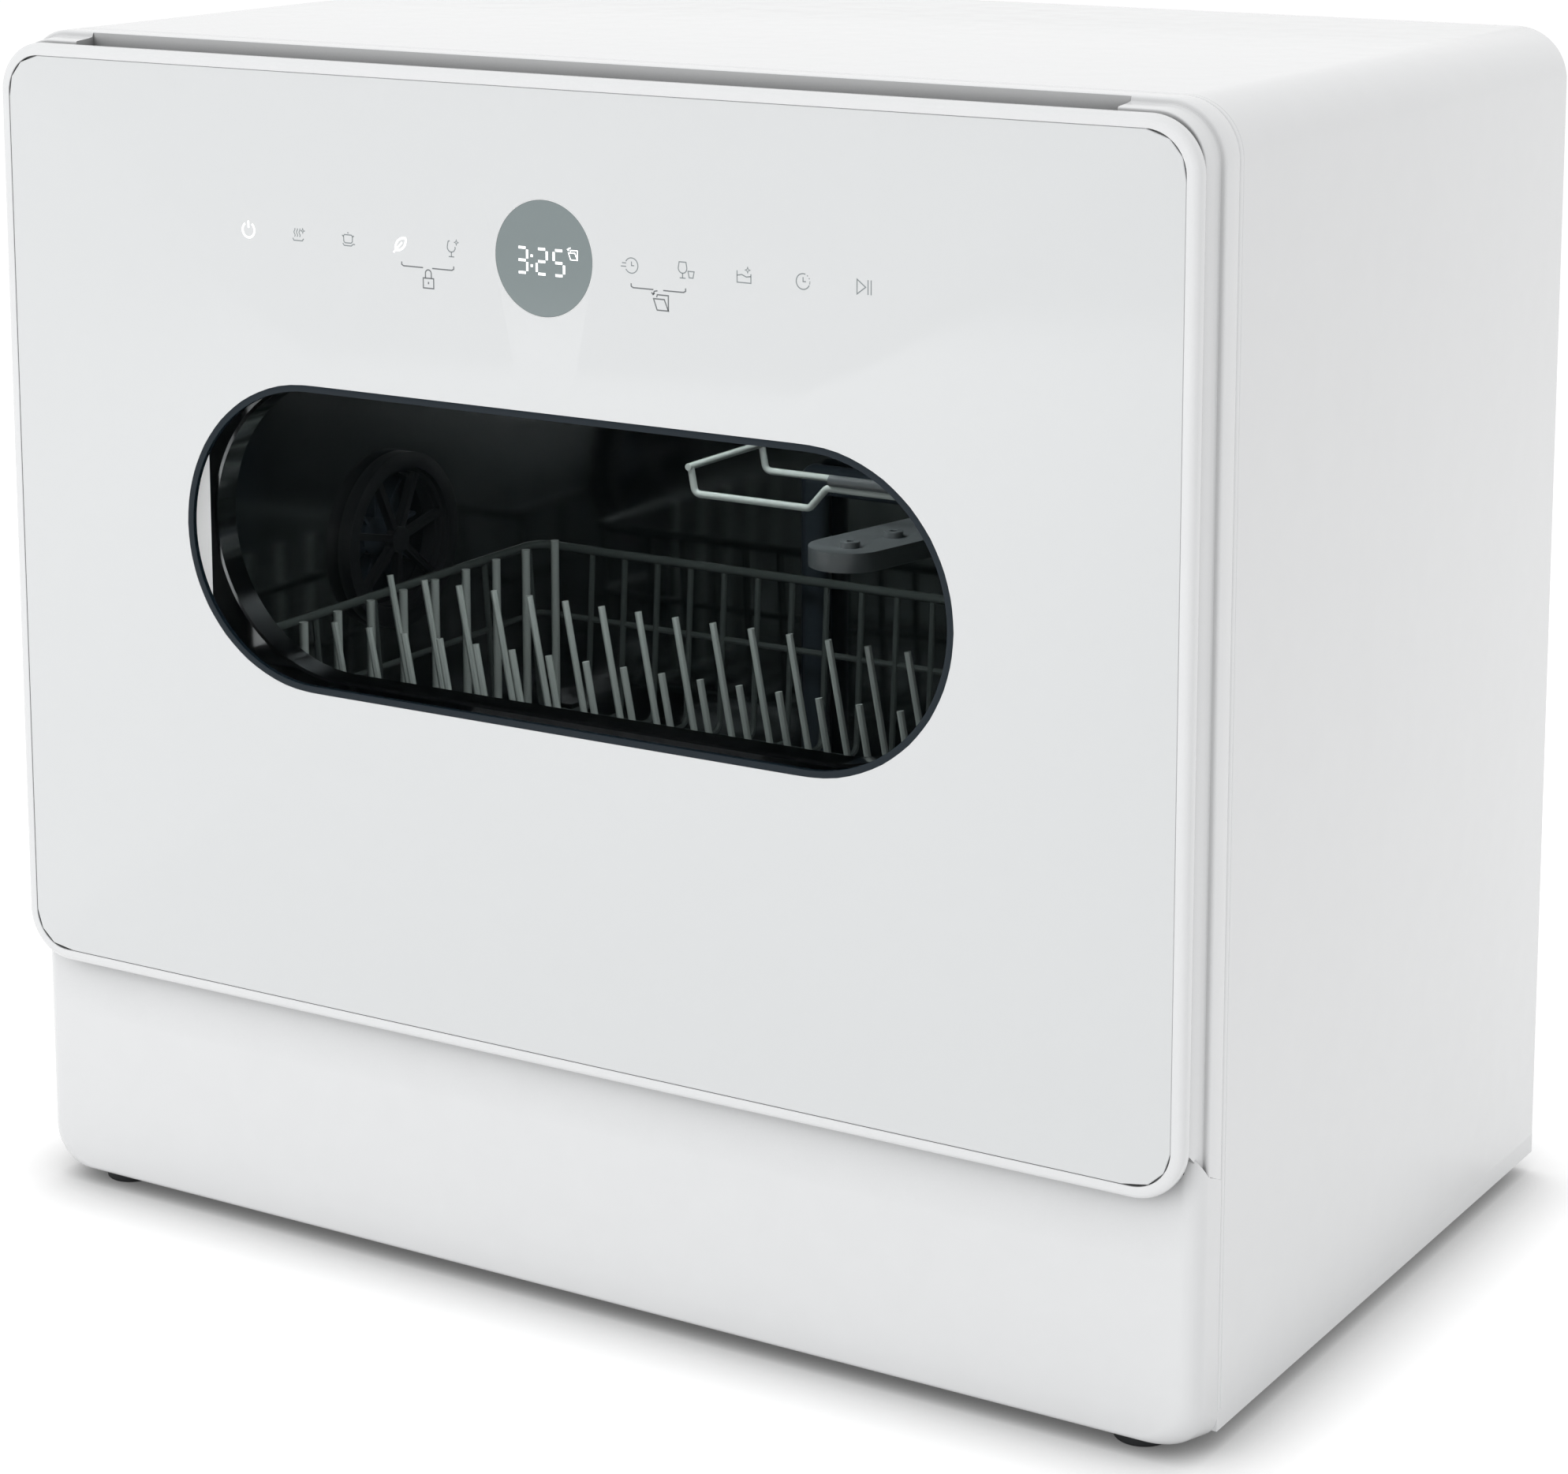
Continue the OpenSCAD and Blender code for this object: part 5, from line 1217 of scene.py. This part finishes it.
@dataclass
class Chamber:
    """The steel tub and what hangs in it."""

    def build(self) -> None:
        """Dresses the tub and its fittings."""
        smooth_copy("tub", Coat.STAINLESS)
        smooth_copy("tub_seal", Coat.RUBBER, 0.8)
        smooth_copy("vent_grille", Coat.BLACK, 0.5)
        smooth_copy("supply_pipe", Coat.BLUE)
        smooth_copy("mid_spray_arm", Coat.ARM, 1.2)
        smooth_copy("lower_spray_arm", Coat.ARM, 1.2)
        smooth_copy("spray_hub", Coat.BLACK)
        smooth_copy("sump", Coat.BLACK)
        smooth_copy("filter_cup", Coat.GREY, 0.3)
        smooth_copy("salt_cap", Coat.GREY, 0.8)
        smooth_copy("float_cap", Coat.GREY, 1.0)
        smooth_copy("shelf_brackets", Coat.ARM, 0.8)
        dress(Coat.STAINLESS, "filter_plate", "basket_rails")


@dataclass
class Basket:
    """The wire basket, its tine rows and the cup shelf."""

    half: float = 208.0
    front: float = 13.0
    back: float = 254.0
    floor: float = 152.0
    rim: float = 228.0
    low: float = 196.0
    slope: float = 26.0
    pitch: float = 18.5
    weld: float = 2.4
    row_z: float = 157.0
    lean: float = 11.0
    count: int = 18

    def build(self) -> None:
        """Builds the basket's pieces and the shelf."""
        self.frame_wires()
        self.row("tine_row_front", "row_front", 43.0, 84.0)
        self.row("tine_row_back", "row_back", 85.0, 96.0)
        self.shelf()
        smooth_copy("tine_clips", Coat.GREY, 0.4)
        smooth_copy("wheels_front", Coat.GREY, 0.6)
        smooth_copy("wheels_back", Coat.GREY, 0.6)

    def rim_height(self, y: float) -> float:
        """Height of the rim at depth y."""
        return self.low + min((y - self.front) / self.slope, 1.0) * (self.rim - self.low)

    def frame_wires(self) -> None:
        """Rim, floor and side wires of the basket, with its axle stubs."""
        b, y0, y1, z0 = self.half, self.front, self.back, self.floor
        rim = Wires("basket rim", 2.2, 9.0, 12)
        rim.add((0, y0, self.low), (b, y0, self.low), (b, y0 + self.slope, self.rim), (b, y1, self.rim),
                (-b, y1, self.rim), (-b, y0 + self.slope, self.rim), (-b, y0, self.low), (0, y0, self.low))
        thin = Wires("basket wires", 1.5, 5.0, 8)
        for y in (20, 43, 85, 127, 169, 211, 247):
            top = self.rim_height(y)
            thin.add((-b, y, top), (-b + 6, y, z0 - self.weld), (b - 6, y, z0 - self.weld), (b, y, top))
        for i in range(-10, 10):
            x = (i + 0.5) * self.pitch
            thin.add((x, y0, self.low), (x, y0 + 5, z0), (x, y1 - 5, z0), (x, y1, self.rim))
        mid = self.low - 1
        thin.add((b - 2, y0 + 3, mid), (b - 2, y1 - 1.5, mid), (-b + 2, y1 - 1.5, mid), (-b + 2, y0 + 3, mid))
        cup_x = -b + 29.5
        thin.add((cup_x, 18, z0 + 0.2), (cup_x, 249, z0 + 0.2))
        cups = Wires("basket cup tines", 2.0, 1.0, 10)
        for i in range(10):
            y = y0 + 4 + i * 23.3
            cups.add((cup_x, y, z0), (cup_x, y, self.rim + 10))
        stubs = Wires("basket axles", 2.5, 1.0, 20)
        for s in (-1, 1):
            for y in (85, 211):
                stubs.add((s * (b - 12), y, 150.5), (s * (b + 10), y, 150.5))
        join("basket_wires", Coat.WIRE_DARK, "basket", ["basket_frame"], [w.mesh() for w in (rim, thin, stubs)])
        join("basket_cup_tines", Coat.WIRE, "basket", ["basket_frame"], [cups.mesh()])

    def row(self, node: str, body: str, y: float, length: float) -> None:
        """One folding row of leaning tines on its rod."""
        x0 = -8 * self.pitch
        rod = Wires(node + " rod", 2.0, 1.0, 10)
        rod.add((x0 - 12, y, self.row_z), (x0 + (self.count - 1) * self.pitch + 12, y, self.row_z))
        tines = Wires(node + " tines", 1.5, 1.0, 8)
        lean = math.radians(self.lean)
        for i in range(self.count):
            x = x0 + i * self.pitch
            tines.add((x, y, self.row_z),
                      (x - length * math.sin(lean), y, self.row_z + length * math.cos(lean)))
        join(node + "_wires", Coat.WIRE, body, [node], [rod.mesh(), tines.mesh()])

    def shelf(self) -> None:
        """The folding cup shelf with its thick front and back rods."""
        x1, z, tip = 224.0, 318.0, 8.0
        y0, y1 = 60.0, 222.0
        rods = Wires("shelf hinge", 1.6, 1.0, 12)
        rods.add((x1, y0 - 4, z), (x1, y1 + 4, z))
        thin = Wires("shelf wires", 1.5, 3.0, 10)
        for y in (y0, y0 + 54, y1 - 54, y1):
            thin.add((x1, y, z), (x1 - 12, y, z + 2), (70, y, z + 2), (62, y, z - 7), (tip, y, z - 7),
                     (tip - 2, y, z + 4))
        for x in (tip - 2, 116, 165):
            thin.add((x, y0 - 2, z + 4), (x, y1 + 2, z + 4))
        thick = Wires("shelf thick rods", 2.3, 1.0, 14, Coat.ARM)
        for y in (y0 - 1, y1 + 1):
            thick.add((x1 - 12, y, z + 5.4), (72, y, z + 5.4))
        join("cup_shelf_wires", Coat.WIRE, "shelf", ["cup_shelf"], [rods.mesh(), thin.mesh()])
        join("cup_shelf_rests", Coat.ARM, "shelf", ["cup_shelf"], [thick.mesh()])


@dataclass
class Machinery:
    """What sits in the base, at the back and behind the door's liner."""

    screw_radius: float = 4.0

    def build(self) -> None:
        """Dresses the carried-over nodes and makes the screw heads."""
        dress(Coat.SHELL, "base_tray")
        dress(Coat.ZINC, "back_panel", "hinge_beam", "hinge_straps")
        dress(Coat.BLACK, "power_inlet", "fan_housing", "wash_pump", "drain_pump")
        dress(Coat.RUBBER, "drain_hose", "feed_hose")
        dress(Coat.BLUE, "fan_impeller", "wash_impeller")
        dress(Coat.INNER_WHITE, "softener", "power_board")
        dress(Coat.CIRCUIT, "control_board")
        dress(Coat.STAINLESS, "hinge_pins")
        smooth_copy("door_liner", Coat.STAINLESS)
        smooth_copy("catch_lever", Coat.GREY, 0.3)
        smooth_copy("connector_niche", Coat.BLACK, 0.6)
        smooth_copy("inlet_valve", Coat.GREY, 0.8)
        smooth_copy("drain_spigot", Coat.GREY, 0.4)
        smooth_copy("dispenser_body", Coat.INNER_WHITE, 0.5)
        smooth_copy("dispenser_lid", Coat.GREY, 0.4)
        smooth_copy("rinse_cap", Coat.BLUE, 0.6)
        for side in ("front_left", "front_right", "back_left", "back_right"):
            smooth_copy("foot_" + side, Coat.RUBBER, 1.0)
        self.screws()

    def screws(self) -> None:
        """Domed cross-head screws on the back panel, set out by Geometry Nodes."""
        places = [(s * 263.0, z) for s in (-1, 1) for z in (40, 200, 330, 450)] + [(-90, 479.5), (90, 479.5)]
        points = bpy.data.meshes.new("screw places")
        points.from_pydata([DATUM.at(x, 315.32, z) for x, z in places], [], [])
        head = Piece("screw head", Coat.SCREW)
        r = self.screw_radius
        head.turned((0.0, 0.0, 0.0), 1, [(1.9, -6.0), (1.9, 0.0), (r, 0.0), (r, 0.5), (r * 0.75, 1.15),
                                         (r * 0.45, 1.55), (0.4, 1.6)], 20)
        bmesh.ops.recalc_face_normals(head.shape, faces=head.shape.faces)
        for vert in head.shape.verts:
            vert.co = vert.co * MM
        mesh = bpy.data.meshes.new("screw head")
        head.shape.to_mesh(mesh)
        head.shape.free()
        model = bpy.data.objects.new("screw head", mesh)
        tree = NodeTree("screws", {"Head scale": 1.0})
        item = tree.node("GeometryNodeObjectInfo", inputs={"Object": model})
        dots = tree.node("GeometryNodeMeshToPoints", inputs={"Mesh": tree.source.outputs[0]})
        spread = tree.node("GeometryNodeInstanceOnPoints", inputs={"Points": dots.outputs[0],
                                                                  "Instance": item.outputs["Geometry"]})
        tree.group.links.new(tree.source.outputs["Head scale"], spread.inputs["Scale"])
        tree.close(spread.outputs[0], Coat.SCREW)
        result = tree.apply(points)
        bpy.data.objects.remove(model)
        settle(result, "back_screw_heads", Coat.SCREW, "cabinet", ["back_screws"])


# Studio


@dataclass
class Studio:
    """Floor, lamps, world and camera."""

    eye: Point = (0.8351, -1.3565, 0.6411)
    pitch: float = 9.63
    yaw: float = 31.29
    lens: float = 88.37
    shift: Flat = (-0.0147, -0.2551)

    def build(self) -> None:
        """Sets the scene up."""
        self.camera()
        self.world()
        self.floor()
        self.lamps()
        view = bpy.context.scene.view_settings
        view.view_transform = "Standard"

    def camera(self) -> None:
        """The camera at the photograph's place."""
        data = bpy.data.cameras.new("camera")
        data.sensor_width = 36.0
        data.lens = self.lens
        data.shift_x, data.shift_y = self.shift
        data.clip_start = 0.05
        camera = bpy.data.objects.new("camera", data)
        camera.location = self.eye
        camera.rotation_euler = (math.radians(90 - self.pitch), 0.0, math.radians(self.yaw))
        bpy.context.scene.collection.objects.link(camera)
        bpy.context.scene.camera = camera

    def seen(self, graph: Graph) -> Value:
        """1 for camera, glossy and transmission rays."""
        path = graph.raw("ShaderNodeLightPath")
        total = Value(graph, path.outputs["Is Camera Ray"]) + Value(graph, path.outputs["Is Glossy Ray"])
        total = total + Value(graph, path.outputs["Is Transmission Ray"])
        return graph.node("ShaderNodeMath", {"operation": "MINIMUM"}, {0: total, 1: 1.0})

    def world(self) -> None:
        """Soft light from everywhere, and white where it is seen."""
        world = bpy.data.worlds.new("studio")
        bpy.context.scene.world = world
        graph = Graph(world)
        strength = self.seen(graph) * 0.34 + 0.66
        back = graph.raw("ShaderNodeBackground", inputs={"Color": (1.0, 1.0, 1.0, 1.0), "Strength": strength})
        graph.finish(back.outputs[0], "ShaderNodeOutputWorld")

    def floor(self) -> None:
        """A white floor that keeps the object's soft shadow, darkened close round the object by a painted contact
        shadow from ambient occlusion.
        """
        mesh = bpy.data.meshes.new("floor")
        reach = 12.0
        mesh.from_pydata([(-reach, -reach, 0), (reach, -reach, 0), (reach, reach, 0), (-reach, reach, 0)], [],
                         [(0, 1, 2, 3)])
        floor = bpy.data.objects.new("floor", mesh)
        bpy.context.scene.collection.objects.link(floor)
        material = bpy.data.materials.new("white floor")
        graph = Graph(material)
        # Painted contact shadow: ambient occlusion darkens the floor's colour and its white glow close to the object.
        near = graph.raw("ShaderNodeAmbientOcclusion", inputs={"Distance": 0.045})
        painted_shadow_level = Value(graph, near.outputs["AO"]) * 0.84 + 0.16
        matt = graph.raw("ShaderNodeBsdfDiffuse", inputs={"Color": painted_shadow_level * 0.93})
        light = graph.raw("ShaderNodeEmission", inputs={"Color": (1.0, 1.0, 1.0, 1.0),
                                                       "Strength": self.seen(graph) * painted_shadow_level * 0.42})
        both = graph.raw("ShaderNodeAddShader", inputs={0: matt.outputs[0], 1: light.outputs[0]})
        graph.finish(both.outputs[0])
        mesh.materials.append(material)

    def lamps(self) -> None:
        """Large soft lamps above, in front and at the right, and a faint one inside the chamber."""
        self.lamp("over", (0.0, 0.5, 2.2), (0.0, 0.0, 0.2), 2.0, 7.5)
        self.lamp("front", (-0.8, -2.3, 1.0), (0.0, 0.0, 0.25), 1.6, 14.0)
        self.lamp("right", (1.9, -1.6, 1.2), (0.0, 0.0, 0.3), 1.2, 2.2)
        self.lamp("chamber", (0.0, -0.118, 0.468), (0.0, -0.03, 0.16), 0.1, 0.6)

    def lamp(self, name: str, place: Point, aim: Point, size: float, power: float) -> None:
        """One square area lamp that points at aim."""
        data = bpy.data.lights.new(name, "AREA")
        data.size = size
        data.energy = power
        lamp = bpy.data.objects.new(name, data)
        lamp.location = place
        lamp.visible_glossy = False
        lamp.rotation_euler = (Vector(aim) - Vector(place)).to_track_quat("-Z", "Y").to_euler()
        bpy.context.scene.collection.objects.link(lamp)


def main() -> None:
    """Builds the studio and the appliance, piece by piece."""
    logging.basicConfig(level=logging.INFO, format="%(name)s: %(message)s")
    Studio().build()
    Shell().build()
    Door().build()
    Symbols().build()
    Chamber().build()
    Basket().build()
    Machinery().build()


if __name__ == "__main__":
    main()
